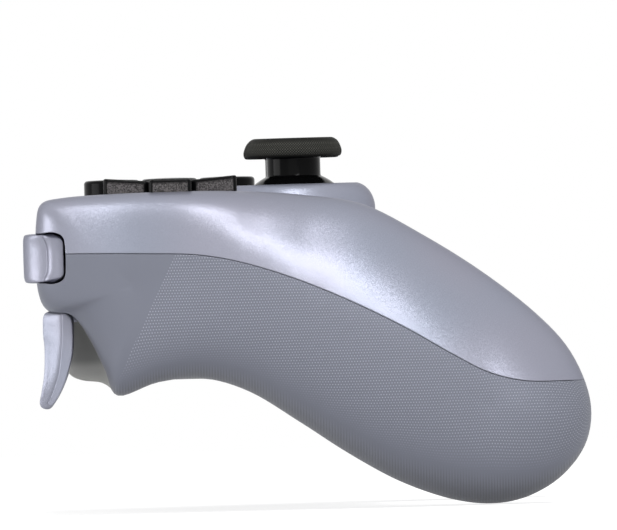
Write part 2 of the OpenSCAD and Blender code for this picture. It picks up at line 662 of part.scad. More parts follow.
lever_top = cap_low - 1.6;
module stick_lever(s) color(steel) stick_at(s) at([0, 0, pivot_z - 4.6])
    cylinder(lever_top - pivot_z + 4.6, r = lever_d / 2);
dome_at_post = asin(sqrt(1 - pow(post_d / 2 / dome_r, 2)));
module stick_post(s) color(jet) stick_at(s) rotate_extrude($fn = 64) {
    r = post_d / 2;
    angles = [for (i = [0:8]) 5 + (dome_at_post - 5) * i / 8];
    inner_r = dome_r - dome_wall;
    polygon(concat(
        [for (a = angles) dome_r * [cos(a), sin(a)] + [0, pivot_z]],
        [[r, cap_low - 1], [r + 0.6, cap_low], [2.6, cap_low], [2.6, cap_low - 1.4],
            [lever_d / 2 + 0.02, cap_low - 1.4], [lever_d / 2 + 0.02, pivot_z + inner_r - 2.5],
            [3.2, pivot_z + inner_r - 2.5], [3.2, pivot_z + sqrt(inner_r * inner_r - 3.2 * 3.2)]],
        [for (i = [8:-1:0]) let (a = 5 + (asin(sqrt(1 - pow(3.6 / inner_r, 2))) - 5) * i / 8)
            inner_r * [cos(a), sin(a)] + [0, pivot_z]]));
}
module stick_cap(s) color(rubber) stick_at(s) rotate_extrude($fn = 64) {
    r = cap_d / 2;
    t = cap_t;
    polygon([[0, cap_low], [r - 0.4, cap_low], [r - 0.1, cap_low + t * 0.14], [r, cap_low + t * 0.36],
        [r - 0.3, cap_low + t * 0.62], [r - 0.9, cap_low + t * 0.87], [r - 1.6, cap_top],
        [r - 2.6, cap_top - 0.15], [r - 3.4, cap_top - 0.6], [r - 5, cap_top - 1], [0, cap_top - 1.2]]);
}
module bumper(s) color(paint) on_side(s) union() {
    loft([for (v = [[shoulder_in, bumper_side], [grip_x - 0.5, bumper_side], [grip_x + 5, bumper_crease],
        [bumper_end, bumper_tip]]) bumper_ring(v[1], v[0])]);
    at([hub_in + 1, tongue_end, tongue_z - tongue_t / 2])
        cube([hub_out - hub_in - 2, front_y - 2 - tongue_end, tongue_t]);
}
module trigger(s) color(paint) on_side(s) difference() {
    union() {
        loft([for (v = [[grip_x, trigger_side_outer], [grip_x - 3.5, trigger_side],
            [shoulder_in, trigger_side]]) trigger_ring(v[1], v[0])]);
        across(hub_in + 2.2, hub_out) translate([hinge_y, hinge_z]) arm_outline();
        at([hub_in + 2.2, hinge_y, hinge_z]) rotate([0, 90, 0]) cylinder(hub_out - hub_in - 2.2, r = hub_r);
    }
    at([0, hinge_y, hinge_z]) rotate([0, 90, 0]) cylinder(big, d = trigger_pin_d + 2 * running);
}
module trigger_bracket(s) color(well_grey) on_side(s) difference() {
    union() {
        at([bracket_x, bracket_y, hinge_z - ear_r])
            cube([bracket_w, bracket_t, plate_low - play - hinge_z + ear_r]);
        for (x = [bracket_x, bracket_x + bracket_w - ear_t]) {
            at([x, hinge_y, hinge_z]) rotate([0, 90, 0]) cylinder(ear_t, r = ear_r);
            at([x, bracket_y, hinge_z - ear_r]) cube([ear_t, hinge_y - bracket_y, 2 * ear_r]);
            at([x, rail_y, hinge_z])
                cube([ear_t, rail_l, tongue_z + tongue_t / 2 + play + rail_t - hinge_z]);
        }
        // The guide of the bumper's tongue, below and above it
        for (z = [tongue_z - tongue_t / 2 - play - rail_t, tongue_z + tongue_t / 2 + play])
            at([bracket_x, rail_y, z]) cube([bracket_w, rail_l, rail_t]);
    }
    at([0, hinge_y, hinge_z]) rotate([0, 90, 0]) cylinder(big, d = trigger_pin_d + 0.02);
}
module trigger_pin(s) color(steel) on_side(s) at([hub_in - ear_t - 0.5, hinge_y, hinge_z])
    rotate([0, 90, 0]) cylinder(hub_out - hub_in + 2 * ear_t + 1, d = trigger_pin_d);
wire = 0.4;
turns = 3;
steps = 12;
module trigger_spring(s) color(steel) on_side(s) {
    r = trigger_pin_d / 2 + wire / 2 + 0.2;
    rise = 1.6 / turns;
    loft([for (i = [0:turns * steps]) let (a = 360 * i / steps)
        [for (k = [0:5]) let (c = r + wire / 2 * cos(60 * k))
            [hub_in + 0.3 + rise * i / steps + wire / 2 * sin(60 * k),
                hinge_y + c * cos(a), hinge_z + c * sin(a)]]]);
}
module rumble_motor(s) color(steel) on_side(s) at([motor_x, motor_y, motor_z]) rotate([0, 90, 0]) {
    cylinder(motor_l, d = motor_d);
    at([0, 0, motor_l - tiny]) cylinder(weight_t + 0.6, d = shaft_d);
}
module rumble_weight(s) color("#8A7F6A") on_side(s) at([motor_x + motor_l + 0.4, motor_y, motor_z])
    rotate([0, 90, 0]) difference() {
        union() {
            cylinder(weight_t, r = 2.4);
            intersection() {
                cylinder(weight_t, r = weight_r);
                at([0, -big / 2, -1]) cube(big);
            }
        }
        at([0, 0, -1]) cylinder(big, d = shaft_d + 2 * running);
    }
module charge_port() color(steel) difference() {
    at([0, front_y - 1 - port_l, port_z]) port_outline(0, port_l);
    at([0, front_y - port_l, port_z]) port_outline(-0.35, port_l);
}
module headset_socket() color("#202124") difference() {
    union() {
        at([0, jack_end, jack_z]) rotate([-90, 0, 0]) cylinder(jack_l, r = jack_r);
        at([-jack_w / 2, jack_end + jack_neck, jack_z - jack_w / 2])
            cube([jack_w, jack_l + 1.4 - jack_neck, jack_w]);
    }
    at([0, jack_end - 1, jack_z]) rotate([-90, 0, 0]) cylinder(jack_l + 1, d = jack_d);
}
module shell_screws() color(steel) spots(screw_spots) at([0, 0, seam_z($y) - screw_below]) {
    at([0, 0, -screw_head_t]) cylinder(screw_head_t, d = screw_head_d);
    at([0, 0, -tiny]) cylinder(screw_below + screw_above, d = screw_d);
}

upper_shell();
lower_shell();
touchpad();
home_button();
option_button(-1);  // option_button_left
option_button(1);  // option_button_right
direction_key(0);  // direction_key_up
direction_key(180);  // direction_key_down
direction_key(90);  // direction_key_left
direction_key(270);  // direction_key_right
round_button(0);  // round_button_top
round_button(180);  // round_button_bottom
round_button(90);  // round_button_inner
round_button(270);  // round_button_outer
key_dome(0);  // key_dome_up
key_dome(180);  // key_dome_down
key_dome(90);  // key_dome_left
key_dome(270);  // key_dome_right
button_dome(0);  // button_dome_top
button_dome(180);  // button_dome_bottom
button_dome(90);  // button_dome_inner
button_dome(270);  // button_dome_outer
key_membrane();
button_membrane();
button_plate();
main_board();
battery_tray();
battery_pack();
stick_housing(-1);  // stick_housing_left
stick_yoke(-1);  // stick_yoke_left
stick_pivot(-1);  // stick_pivot_left
stick_lever(-1);  // stick_lever_left
stick_post(-1);  // stick_post_left
stick_cap(-1);  // stick_cap_left
stick_housing(1);  // stick_housing_right
stick_yoke(1);  // stick_yoke_right
stick_pivot(1);  // stick_pivot_right
stick_lever(1);  // stick_lever_right
stick_post(1);  // stick_post_right
stick_cap(1);  // stick_cap_right
bumper(-1);  // bumper_left
bumper(1);  // bumper_right
trigger(-1);  // trigger_left
trigger(1);  // trigger_right
trigger_bracket(-1);  // trigger_bracket_left
trigger_bracket(1);  // trigger_bracket_right
trigger_pin(-1);  // trigger_pin_left
trigger_pin(1);  // trigger_pin_right
trigger_spring(-1);  // trigger_spring_left
trigger_spring(1);  // trigger_spring_right
rumble_motor(-1);  // rumble_motor_left
rumble_motor(1);  // rumble_motor_right
rumble_weight(-1);  // rumble_weight_left
rumble_weight(1);  // rumble_weight_right
charge_port();
headset_socket();
shell_screws();
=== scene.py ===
"""Surfaces, finishes and stage of a gamepad controller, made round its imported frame.

+X is the player's right, +Y points away from the player, +Z up out of the face. Lengths in the shape
functions are millimetres; a mesh is brought to metres when it is made.
"""
import math

import bmesh
import bpy
import numpy as np
from bpy.props import FloatProperty, FloatVectorProperty, IntProperty, PointerProperty
from mathutils import Matrix, Quaternion, Vector


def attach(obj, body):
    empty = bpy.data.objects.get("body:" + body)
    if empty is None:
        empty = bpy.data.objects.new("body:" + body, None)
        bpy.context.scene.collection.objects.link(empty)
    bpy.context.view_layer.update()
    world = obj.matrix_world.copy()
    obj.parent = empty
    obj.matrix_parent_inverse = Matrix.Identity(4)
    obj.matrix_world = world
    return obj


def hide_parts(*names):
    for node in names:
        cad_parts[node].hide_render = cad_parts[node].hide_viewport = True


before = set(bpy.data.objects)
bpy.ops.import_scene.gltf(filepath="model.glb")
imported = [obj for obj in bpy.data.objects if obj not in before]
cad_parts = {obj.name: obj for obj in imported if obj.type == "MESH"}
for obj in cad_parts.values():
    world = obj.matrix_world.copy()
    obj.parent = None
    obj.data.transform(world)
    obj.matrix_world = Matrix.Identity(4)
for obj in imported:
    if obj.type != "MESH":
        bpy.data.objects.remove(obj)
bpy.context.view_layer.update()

bl_info = {
    "name": "Gamepad surfaces",
    "version": (1, 0, 0),
    "blender": (4, 5, 0),
    "location": "View3D > Sidebar > Gamepad",
    "description": "Makes the surfaces, finishes and stage of a gamepad controller",
    "category": "Object",
}

MM = 0.001
SIDES = {"left": -1, "right": 1}


def linear(hex_code):
    """Linear colour of an sRGB hex value, by the sRGB curve."""
    srgb = [int(hex_code[i:i + 2], 16) / 255 for i in (0, 2, 4)]
    return [c / 12.92 if c <= 0.04045 else ((c + 0.055) / 1.055) ** 2.4 for c in srgb]


# Housing

# Outline of a grip and of the middle body seen from the side, as matching [y, z] points: the face from
# front to rear, then the underside back to the front wall
GRIP_SIDE = np.array([
    [50.7, 55.4], [49.6, 59], [45.6, 60], [38, 60.4], [25, 60.6], [12, 60.3], [0, 59.2], [-11, 57.2],
    [-22, 51.2], [-33, 43.9], [-43, 35.7], [-49.4, 28.2], [-52.8, 19.2], [-52, 11.4], [-47.5, 5.2],
    [-41, 1.3], [-34, 0], [-26, 1.1], [-16.5, 4.7], [-7.2, 10.1], [2, 16.4], [11.3, 22.4],
    [20, 25.2], [28.5, 24.7], [36.2, 22.4], [38.6, 27.5], [41.2, 33.2], [44.4, 37.8], [49, 38.9],
    [50.7, 42.6], [50.9, 49]])
MIDDLE_SIDE = np.array([
    [50.7, 55.4], [49.6, 59], [45.6, 60], [38, 60.4], [25, 60.6], [12, 60.3], [2, 59.5], [-6, 58.2],
    [-11.6, 56.2], [-14.8, 53.4], [-16.2, 50.2], [-16.6, 46.8], [-16.3, 43.4], [-15.3, 40.2],
    [-13.6, 37.3], [-11.2, 34.7], [-8.3, 32.3], [-4.8, 30.1], [-0.7, 28.2], [4, 26.7], [9.5, 25.6],
    [15.5, 25], [21.5, 25], [28.5, 25], [36.5, 25], [43, 25.4], [46, 27.6], [47.2, 32.6],
    [48.6, 38], [50, 43], [50.9, 49]])
# Core line of a grip as [y, z] points, and of the middle body as its two ends in y and its height
GRIP_CORE = np.array([[-34, 18], [-22, 26.5], [-12, 31], [0, 37], [12, 42], [25, 43], [33, 43]])
MIDDLE_CORE = (-6, 36, 42)
# Joint between the shells, seen from the side
SEAM = np.array([
    [-60, 23], [-47, 22.8], [-40, 23.1], [-33.5, 24.9], [-27, 28.4], [-18, 33.8], [-8, 39], [2, 43.4],
    [12, 46.8], [20.5, 48.5], [30, 49], [45, 49.4], [60, 49.5]])
# Wall, and how far the lower shell's lip reaches past the joint
WALL, LIP_H = 2.2, 0.9
# Middle of the grips, and between which x the middle's outline passes into theirs
GRIP_X, GRIP_START, GRIP_FULL = 62, 28, 58
# Width and inner end of the shoulders, and between which x the trigger wells' wall turns
SHOULDER_W = 23
SHOULDER_IN = GRIP_X - SHOULDER_W
WELL_START, WELL_FULL = SHOULDER_IN - 3.4, SHOULDER_IN - 0.9
# First and last of the outline's points that run round the well, and the wall's extra thickness there
WELL_FIRST, WELL_LAST, WELL_FILL = 24, 29, 2.6
# Roundness of the outer side at each y, above and below the core: 2 is an ellipse, more is fuller
UPPER_FULLNESS = np.array([[-30, 1.95], [0, 2], [10, 2.3], [22, 3.4], [40, 3.6]])
LOWER_FULLNESS = np.array([[0, 2.4], [24, 2.9], [40, 3.4]])
# Length over which a core line's ends are rounded
CORE_BLEND = 5
# Heights about the core between which the lower fullness passes into the upper one
FULLNESS_BLEND = (-6, 14)
# The grips' widest place, half of the width there, and its fall with the square of the distance
WIDEST_Y, HALF_WIDTH, WIDTH_FALL = -8, 80, 0.00416
# Where the joint between the shells is nearly shut at the rear, and over what length it closes
JOINT_END, JOINT_CLOSING = -51, 1.5
# Height of the face, the front wall, and a distance past everything
FACE_H, FRONT_Y, FAR = 60.6, 50.9, 120

# Places on the face and in the housing; KEY_SLOPE and TRIGGER_PULL are degrees
CLUSTER_X, CLUSTER_Y = 53, 25.2
KEY_PLACE = (-CLUSTER_X, CLUSTER_Y)
KEY_TURNS = {"up": 0, "left": 90, "down": 180, "right": 270}
BUTTON_TURNS = {"top": 0, "inner": 90, "bottom": 180, "outer": 270}
DPAD_SPAN, KEY_W, KEY_RISE, KEY_ROUND, KEY_INNER, KEY_SLOPE = 25.2, 8, 2.8, 0.9, 0.5, 4.5
SIDE_KEY_DROP = 0.5
BUTTON_D, BUTTON_RING, BUTTON_RISE = 10.8, 11.1, 3
# Flange that keeps keys and buttons in the housing
FLANGE_T, FLANGE_LIP, FLANGE_TOP = 1.2, 1, FACE_H - 6.8
FLANGE_LOW = FLANGE_TOP - FLANGE_T
# Wall round the openings of keys and buttons
COLLAR_T = 1.2
STICK = (27, 1.6)
CAP_D, CAP_T, CAP_TOP = 18.4, 3.65, FACE_H + 9.6
CAP_LOW = CAP_TOP - CAP_T
POST_D, DOME_R, PIVOT_Z, DOME_GAP = 10.2, 12.3, FACE_H - 8.8, 0.5
BOSS_R, BOSS_TOP, BOSS_LOW, HOLE_R = 15.3, FACE_H + 0.9, FACE_H - 9, 11.5
# Play between a piece and its opening
PLAY, KEY_PLAY = 0.3, 0.2
PAD_W, PAD_L, PAD_FRONT, PAD_T, PAD_CORNER = 48, 27, 44.8, 1.8, 1.5
PAD_REAR = PAD_FRONT - PAD_L
PAD_PLACE = (0, (PAD_REAR + PAD_FRONT) / 2)
HOME_D, HOME_Y = 7.6, 3
OPTION_L, OPTION_W, OPTION_X, OPTION_Y = 6.4, 3, 32, 34.2
# A round end's radius as a share of half the width, so that the end keeps a flat of some length
ROUND_END = 0.999
SCREWS = ((10, -4.2), (29.5, 41.5), (59, -13))
SCREW_HEAD_D, SCREW_HEAD_T, SCREW_D, SCREW_L, SCREW_BELOW, COLUMN_R = 4.4, 1.6, 2.4, 15, 8, 2.9
JACK_END, JACK_Z, JACK_R = -16.2, 39.8, 2.6
PORT_W, PORT_T, PORT_Z = 9, 3.2, 45.8
BUMPER_Z, BUMPER_H, BUMPER_END, BUMPER_TRAVEL = FACE_H - 11.9, 9.1, GRIP_X + 6.6, 1
# How far a bumper's skin stands past the outline of the solid, into its opening
BUMPER_FILL = 0.16
# Trigger's hinge in y and z, its hub, and the ends of the hub in x
HINGE, HUB_R, TRIGGER_PULL = (FRONT_Y - 9.4, FACE_H - 18.1), 2.8, 16
HUB_IN, HUB_OUT = SHOULDER_IN + 8.3, GRIP_X - 6.5


def cubic_curve(neighbours, steps):
    """Points in steps along Catmull-Rom cubics, each from its second to its third neighbour."""
    p0, p1, p2, p3 = (p[:, None, :] for p in neighbours)
    t = (np.arange(steps) / steps)[None, :, None]
    cubic = 2 * p1 + (p2 - p0) * t + (2 * p0 - 5 * p1 + 4 * p2 - p3) * t ** 2
    cubic += (3 * p1 - p0 - 3 * p2 + p3) * t ** 3
    return 0.5 * cubic.reshape(-1, p0.shape[-1])


def rounded_ring(points, steps):
    """Closed smooth curve through the points."""
    return cubic_curve([np.roll(points, k, axis=0) for k in (1, 0, -1, -2)], steps)


def smooth_line(points, steps):
    """Open smooth curve through the points."""
    ends = np.vstack([points[:1], points, points[-1:]])
    curve = cubic_curve([ends[k:k + len(points) - 1] for k in range(4)], steps)
    return np.vstack([curve, points[-1:]])


def ease(x, low, high):
    """Smooth step from 0 at low to 1 at high: 3u squared less 2u cubed."""
    u = np.clip((x - low) / (high - low), 0, 1)
    return u * u * (3 - 2 * u)


def soft_clip(x, low, high, width):
    """x held between low and high, with a hyperbola of a width in place of each corner."""
    below = (x + high - np.sqrt((x - high) ** 2 + width ** 2)) / 2
    return (below + low + np.sqrt((below - low) ** 2 + width ** 2)) / 2


def grip_share(x):
    """Share of the grip's outline at x: a squared cosine that falls to 0 at the grip's inner edge."""
    u = np.clip((GRIP_FULL - x) / (GRIP_FULL - GRIP_START), 0, 1)
    return np.cos(np.pi / 2 * u ** 1.3) ** 2


def housing_rings(x, steps, inset):
    """Cross-sections at each x, and their core points.

    Each section mixes the middle's and the grip's outline by the grip's share at x, or by the trigger
    well's share where the outline runs round the well, and is then drawn towards its core by inset.
    """
    j = np.arange(len(GRIP_SIDE) * steps) / steps
    well = (j >= WELL_FIRST - 0.5) & (j <= WELL_LAST)
    x = np.asarray(x, float)[:, None]
    share = np.where(well, ease(x + inset, WELL_START, WELL_FULL), grip_share(x - inset))
    mix = share[..., None]
    p = (1 - mix) * rounded_ring(MIDDLE_SIDE, steps) + mix * rounded_ring(GRIP_SIDE, steps)
    grip = grip_share(x)[..., None]
    line = smooth_line(GRIP_CORE, 8)
    y = soft_clip(p[..., 0], line[0, 0], line[-1, 0], CORE_BLEND)
    grip_core = np.stack([y, np.interp(y, line[:, 0], line[:, 1])], axis=-1)
    y = soft_clip(p[..., 0], *MIDDLE_CORE[:2], CORE_BLEND)
    middle_core = np.stack([y, np.full_like(y, MIDDLE_CORE[2])], axis=-1)
    core = grip * grip_core + (1 - grip) * middle_core
    if inset:
        filled = (j >= WELL_FIRST - 0.5) & (j <= WELL_LAST - 1)
        depth = inset + np.where(filled, WELL_FILL * share, 0)
        d = core - p
        p = p + d * (depth / np.linalg.norm(d, axis=-1))[..., None]
    return p, core


def half_width(y):
    """Half of the housing's width at y."""
    return HALF_WIDTH - WIDTH_FALL * (y - WIDEST_Y) ** 2


def housing_rows(middle_x, side_angles, steps, inset):
    """The housing's outer or inner surface as rows of rings from left to right.

    Between the grips' thickest parts the rows are plain sections. Beyond them each ring shrinks towards
    its core as cos(a) to the power 2/fullness while it moves outwards as sin(a) to the same power. The
    fullness changes along the grip, so that the wall stands straighter beside the keys.
    """
    p, _ = housing_rings(middle_x, steps, inset)
    middle = np.concatenate([np.broadcast_to(middle_x[:, None, None], p[..., :1].shape), p], axis=-1)
    ring, core = housing_rings([GRIP_X], steps, inset)
    a = np.radians(side_angles)[:, None, None]
    y = core[..., :1]
    upper, lower = (np.interp(y, t[:, 0], t[:, 1]) for t in (UPPER_FULLNESS, LOWER_FULLNESS))
    fullness = lower + (upper - lower) * ease(ring[..., 1:] - core[..., 1:], *FULLNESS_BLEND)
    yz = core + (ring - core) * np.cos(a) ** (2 / fullness)
    out = (half_width(y) - inset - GRIP_X) * np.sin(a) ** (2 / fullness)
    side = np.concatenate([GRIP_X + out, yz], axis=-1)
    mirror = np.array([-1, 1, 1])
    return np.concatenate([side[::-1] * mirror, middle[:0:-1] * mirror, middle, side])


def face_z(y):
    """Height of the face at y, along the outline's points."""
    top = GRIP_SIDE[2:8][::-1]
    return np.interp(y, top[:, 0], top[:, 1])


def seam_z(y):
    """Height of the joint between the shells at y."""
    return np.interp(y, SEAM[:, 0], SEAM[:, 1])


# Meshes

def loft_faces(rows, columns, closed=False):
    """Quads between matching closed rings, as indices; closed joins the last ring to the first."""
    i = np.arange(rows if closed else rows - 1)[:, None] * columns
    over = (i + columns) % (rows * columns)
    j = np.arange(columns)[None, :]
    k = (j + 1) % columns
    return np.stack([i + j, i + k, over + k, over + j], axis=-1).reshape(-1, 4).tolist()


def lofted(rows):
    """Closed mesh through a stack of matching rings, with a flat face on each end ring."""
    count, columns = rows.shape[:2]
    faces = loft_faces(count, columns)
    faces.append(list(range(columns))[::-1])
    faces.append([(count - 1) * columns + j for j in range(columns)])
    return rows.reshape(-1, 3), faces


def round_outline(radius, centre=(0, 0), segments=64):
    """Circle as an outline."""
    a = np.arange(segments) * 2 * np.pi / segments
    return np.stack([np.cos(a), np.sin(a)], axis=-1) * radius + np.asarray(centre)


def rings(profile, segments, centre):
    """[radius, z] points turned about an upright axis, as a ring of points for each of them."""
    xy = profile[:, None, :1] * round_outline(1, segments=segments)[None] + np.asarray(centre)
    return np.concatenate([xy, np.broadcast_to(profile[:, None, 1:], xy[..., :1].shape)], axis=-1)


def spun(profile, segments, centre=(0, 0)):
    """Surface of revolution about +Z through [radius, z] points, from axis to axis."""
    profile = np.asarray(profile, float)
    rows = rings(profile[1:-1], segments, centre)
    points = np.vstack([rows.reshape(-1, 3), [[*centre, profile[0, 1]], [*centre, profile[-1, 1]]]])
    faces = loft_faces(len(rows), segments)
    last = (len(rows) - 1) * segments
    base = len(points) - 2
    faces += [[(j + 1) % segments, j, base] for j in range(segments)]
    faces += [[last + j, last + (j + 1) % segments, base + 1] for j in range(segments)]
    return points, faces


def ring_spun(profile, segments, centre):
    """Closed surface of revolution of a section that stays off the axis."""
    rows = rings(np.asarray(profile, float), segments, centre)
    return rows.reshape(-1, 3), loft_faces(len(rows), segments, True)


def prism(outline, low, high, axis=2):
    """Straight solid along an axis over a closed outline, given in the other two axes' order."""
    outline = np.asarray(outline, float)
    order = {0: [2, 0, 1], 1: [0, 2, 1], 2: [0, 1, 2]}[axis]
    ends = [np.column_stack([outline, np.full(len(outline), float(at))])[:, order] for at in (low, high)]
    return lofted(np.stack(ends))


def corner_arcs(corners, radius, steps):
    """Closed outline of a convex polygon, anticlockwise, with each corner turned into an arc."""
    corners = np.asarray(corners, float)
    arcs = []
    for before, corner, after in zip(np.roll(corners, 1, 0), corners, np.roll(corners, -1, 0)):
        inward = [(p - corner) / np.linalg.norm(p - corner) for p in (before, after)]
        half = math.acos(np.clip(inward[0] @ inward[1], -1, 1)) / 2
        middle = (inward[0] + inward[1]) / np.linalg.norm(inward[0] + inward[1])
        centre = corner + middle * radius / math.sin(half)
        starts = [corner + v * radius / math.tan(half) - centre for v in inward]
        a0, a1 = (math.atan2(v[1], v[0]) for v in starts)
        a = a0 + ((a1 - a0 + math.pi) % (2 * math.pi) - math.pi) * np.linspace(0, 1, steps)
        arcs.append(centre + radius * np.stack([np.cos(a), np.sin(a)], axis=-1))
    return np.vstack(arcs)


def turned(points, angle, centre):
    """Points of an outline turned about the origin by degrees and moved to centre."""
    a = math.radians(angle)
    turn = np.array([[math.cos(a), math.sin(a)], [-math.sin(a), math.cos(a)]])
    return np.asarray(points) @ turn + np.asarray(centre)


def joined(parts):
    """Several separate closed surfaces as one."""
    points, faces, start = [], [], 0
    for p, f in parts:
        points.append(p)
        faces += [[start + i for i in face] for face in f]
        start += len(p)
    return np.vstack(points), faces


def mirrored(part):
    """Mirror image across the middle, with its faces turned back outwards."""
    points, faces = part
    return points * [-1, 1, 1], [face[::-1] for face in faces]


def shifted(part, rise):
    """The surface moved up by rise."""
    points, faces = part
    return points + [0, 0, rise], faces


def both_sides(part):
    """The right-hand surface and its mirror image."""
    return joined([part, mirrored(part)])


def make_piece(name, part):
    """Mesh object of a closed surface, in metres, with its faces outwards by the sign of its volume."""
    points, faces = part
    points = np.asarray(points, float)
    origin = points[0]
    volume = 0.0
    for size in {len(f) for f in faces}:
        alike = np.array([f for f in faces if len(f) == size])
        for k in range(1, size - 1):
            a, b, c = (points[alike[:, i]] - origin for i in (0, k, k + 1))
            volume += np.einsum("ij,ij->i", a, np.cross(b, c)).sum()
    if volume < 0:
        faces = [list(f)[::-1] for f in faces]
    mesh = bpy.data.meshes.new(name)
    mesh.from_pydata((points * MM).tolist(), [], faces)
    mesh.update()
    piece = bpy.data.objects.new(name, mesh)
    bpy.context.scene.collection.objects.link(piece)
    return piece


def split_caps(piece):
    """Splits faces of many corners into triangles, so that a curved end is shaded as one."""
    step = piece.modifiers.new("split", "TRIANGULATE")
    step.min_vertices = 5
    apply_modifiers(piece)


def combine(target, part, operation="DIFFERENCE"):
    """Cuts, adds to or intersects target with another closed surface, and keeps the result as its mesh."""
    tool = make_piece("tool", part) if isinstance(part, tuple) else part
    step = target.modifiers.new("combine", "BOOLEAN")
    step.operation = operation
    step.solver = "MANIFOLD"
    step.object = tool
    apply_modifiers(target)
    bpy.data.objects.remove(tool)


def apply_modifiers(piece):
    """Keeps the result of the piece's modifiers as its mesh."""
    graph = bpy.context.evaluated_depsgraph_get()
    mesh = bpy.data.meshes.new_from_object(piece.evaluated_get(graph))
    piece.modifiers.clear()
    old = piece.data
    piece.data = mesh
    bpy.data.meshes.remove(old)


def smooth(piece, angle=32):
    """Shades the piece smooth, with edges sharper than the angle, in degrees, kept crisp."""
    piece.data.shade_smooth()
    piece.data.set_sharp_from_angle(angle=math.radians(angle))


def block(low, high):
    """Block between two corners."""
    x0, y0, z0 = low
    x1, y1, z1 = high
    return prism([[x0, y0], [x1, y0], [x1, y1], [x0, y1]], z0, z1)


def grown(outline, distance):
    """Closed outline moved outwards along its own normals; a negative distance moves it inwards."""
    outline = np.asarray(outline, float)
    along = np.roll(outline, -1, 0) - np.roll(outline, 1, 0)
    normal = np.stack([along[:, 1], -along[:, 0]], axis=-1)
    normal /= np.linalg.norm(normal, axis=-1, keepdims=True)
    after = np.roll(outline, -1, 0)
    area = (outline[:, 0] * after[:, 1] - outline[:, 1] * after[:, 0]).sum()
    return outline + normal * distance * np.sign(area)


def arc(centre, radii, start, end, steps):
    """Points of an elliptical arc, in degrees."""
    a = np.radians(np.linspace(start, end, steps))
    return (np.asarray(centre) + np.stack([np.cos(a), np.sin(a)], axis=-1) * radii).tolist()


# Forms of the openings and of the pieces in them

def key_outline(grow=0.0):
    """Outline of the front direction key about its group's centre, grown all round."""
    w = KEY_W / 2 + grow
    far = DPAD_SPAN / 2 + grow
    inner = KEY_INNER - grow * math.sqrt(2)
    corners = [[w, far], [-w, far], [-w, inner + w], [0, inner], [w, inner + w]]
    return corner_arcs(corners, KEY_ROUND + grow, 9)


def key_at(angle, grow=0.0):
    """Outline of the direction key that is turned by angle, in its place on the face."""
    return turned(key_outline(grow), angle, KEY_PLACE)


def key_openings(turns, grow, low):
    """Upright prisms over the keys' outlines, from low up."""
    return joined([prism(key_at(a, grow), low, FAR) for a in turns])


def button_centre(angle):
    """Place of the round button that is turned by angle about its group's centre."""
    return turned([[0, BUTTON_RING]], angle, (CLUSTER_X, CLUSTER_Y))[0]


def button_openings(turns, grow, low):
    """Cylinders round the buttons, from low up."""
    return joined([prism(round_outline(BUTTON_D / 2 + grow, button_centre(a)), low, FAR) for a in turns])


def rounded_box(length, width, centre, radius):
    """Rounded rectangle outline, length along x."""
    a, b = length / 2, width / 2
    return corner_arcs([[a, b], [-a, b], [-a, -b], [a, -b]], radius, 9) + np.asarray(centre)


def pad_outline(grow=0.0):
    """Outline of the touchpad, grown all round."""
    return rounded_box(PAD_W + 2 * grow, PAD_L + 2 * grow, PAD_PLACE, PAD_CORNER + grow)


def option_outline(side, grow=0.0):
    """Outline of an option button: a slot with round ends along y."""
    return rounded_box(OPTION_W + 2 * grow, OPTION_L + 2 * grow, (side * OPTION_X, OPTION_Y),
                       ROUND_END * (OPTION_W / 2 + grow))


# Upper halves of a bumper's sections from front to rear; the lower halves mirror them
BUMPER_SIDE = np.array([
    [2.2, 0.45], [2.1, 0.84], [1.55, 0.95], [-1.2, 0.97], [-3.3, 1], [-4.9, 0.84], [-5.3, 0.42]])
BUMPER_CREASE = np.array([
    [-2.25, 0.45], [-1.5, 0.9], [-1.75, 0.95], [-2.3, 0.96], [-3.4, 0.97], [-4.85, 0.82], [-5.3, 0.4]])
BUMPER_TIP = np.array([
    [-4.35, 0.36], [-4.2, 0.72], [-4.3, 0.75], [-4.45, 0.76], [-4.7, 0.76], [-5, 0.66], [-5.2, 0.34]])
TRIGGER_SIDE = np.array([
    [7.9, -4.1], [8.5, -7.3], [8.3, -11], [8.5, -15.5], [9.1, -19], [9.5, -21.1], [8.9, -22.1],
    [7.6, -22.2], [6.5, -21], [5.1, -18.4], [3.8, -15], [2.9, -11.5], [2.7, -7.5], [2.9, -5.1],
    [3.9, -3.9]])
TRIGGER_OUTER = np.array([
    [4.8, -4.5], [4.9, -8.3], [5.2, -12], [5.7, -15.3], [6.5, -17.9], [7.4, -20.1], [7.9, -21.1],
    [7.4, -21.6], [6.5, -20.8], [5.1, -18.3], [3.8, -15], [3, -11.5], [2.8, -7.5], [3, -5.4],
    [3.8, -4.4]])
TRIGGER_ARM = np.array([[-1.2, -2.4], [2, -6], [6, -6], [6.4, -4.6], [1.96, 2]])


def bumper_outline(half):
    """Section of a bumper in y and z, from points in mm behind the front wall and shares of its height."""
    shape = np.vstack([half, half[::-1] * [1, -1]])
    return rounded_ring(shape * [1, BUMPER_H / 2] + [FRONT_Y, BUMPER_Z], 6)


def swung(outline, pull=0):
    """Outline about the trigger's hinge, pulled by degrees, in the housing's frame."""
    return turned(outline, -pull, HINGE)


def stick_part(profile, segments=96):
    """Both sticks' surface of revolution."""
    return both_sides(spun(profile, segments, STICK))


def boss_profile(low):
    """Raised ring round a stick, from a height up."""
    crown = arc((BOSS_R - 4, BOSS_TOP - 5), (4, 5), 0, 90, 14)
    return [[0, low], [BOSS_R, low]] + crown + [[0, BOSS_TOP]]


def stick_room_profile():
    """Room round a stick: round where the dome swings, straight at the opening, with a rounded rim."""
    r = DOME_R + DOME_GAP
    swing = arc((0, PIVOT_Z), (r, r), 0, math.degrees(math.acos(HOLE_R / r)), 8)
    rim = arc((HOLE_R + 0.8, BOSS_TOP - 0.8), (-0.8, 0.8), 0, 90, 6)
    return [[0, PIVOT_Z - 4], [r, PIVOT_Z - 4]] + swing + rim + [[HOLE_R + 0.8, FAR], [0, FAR]]


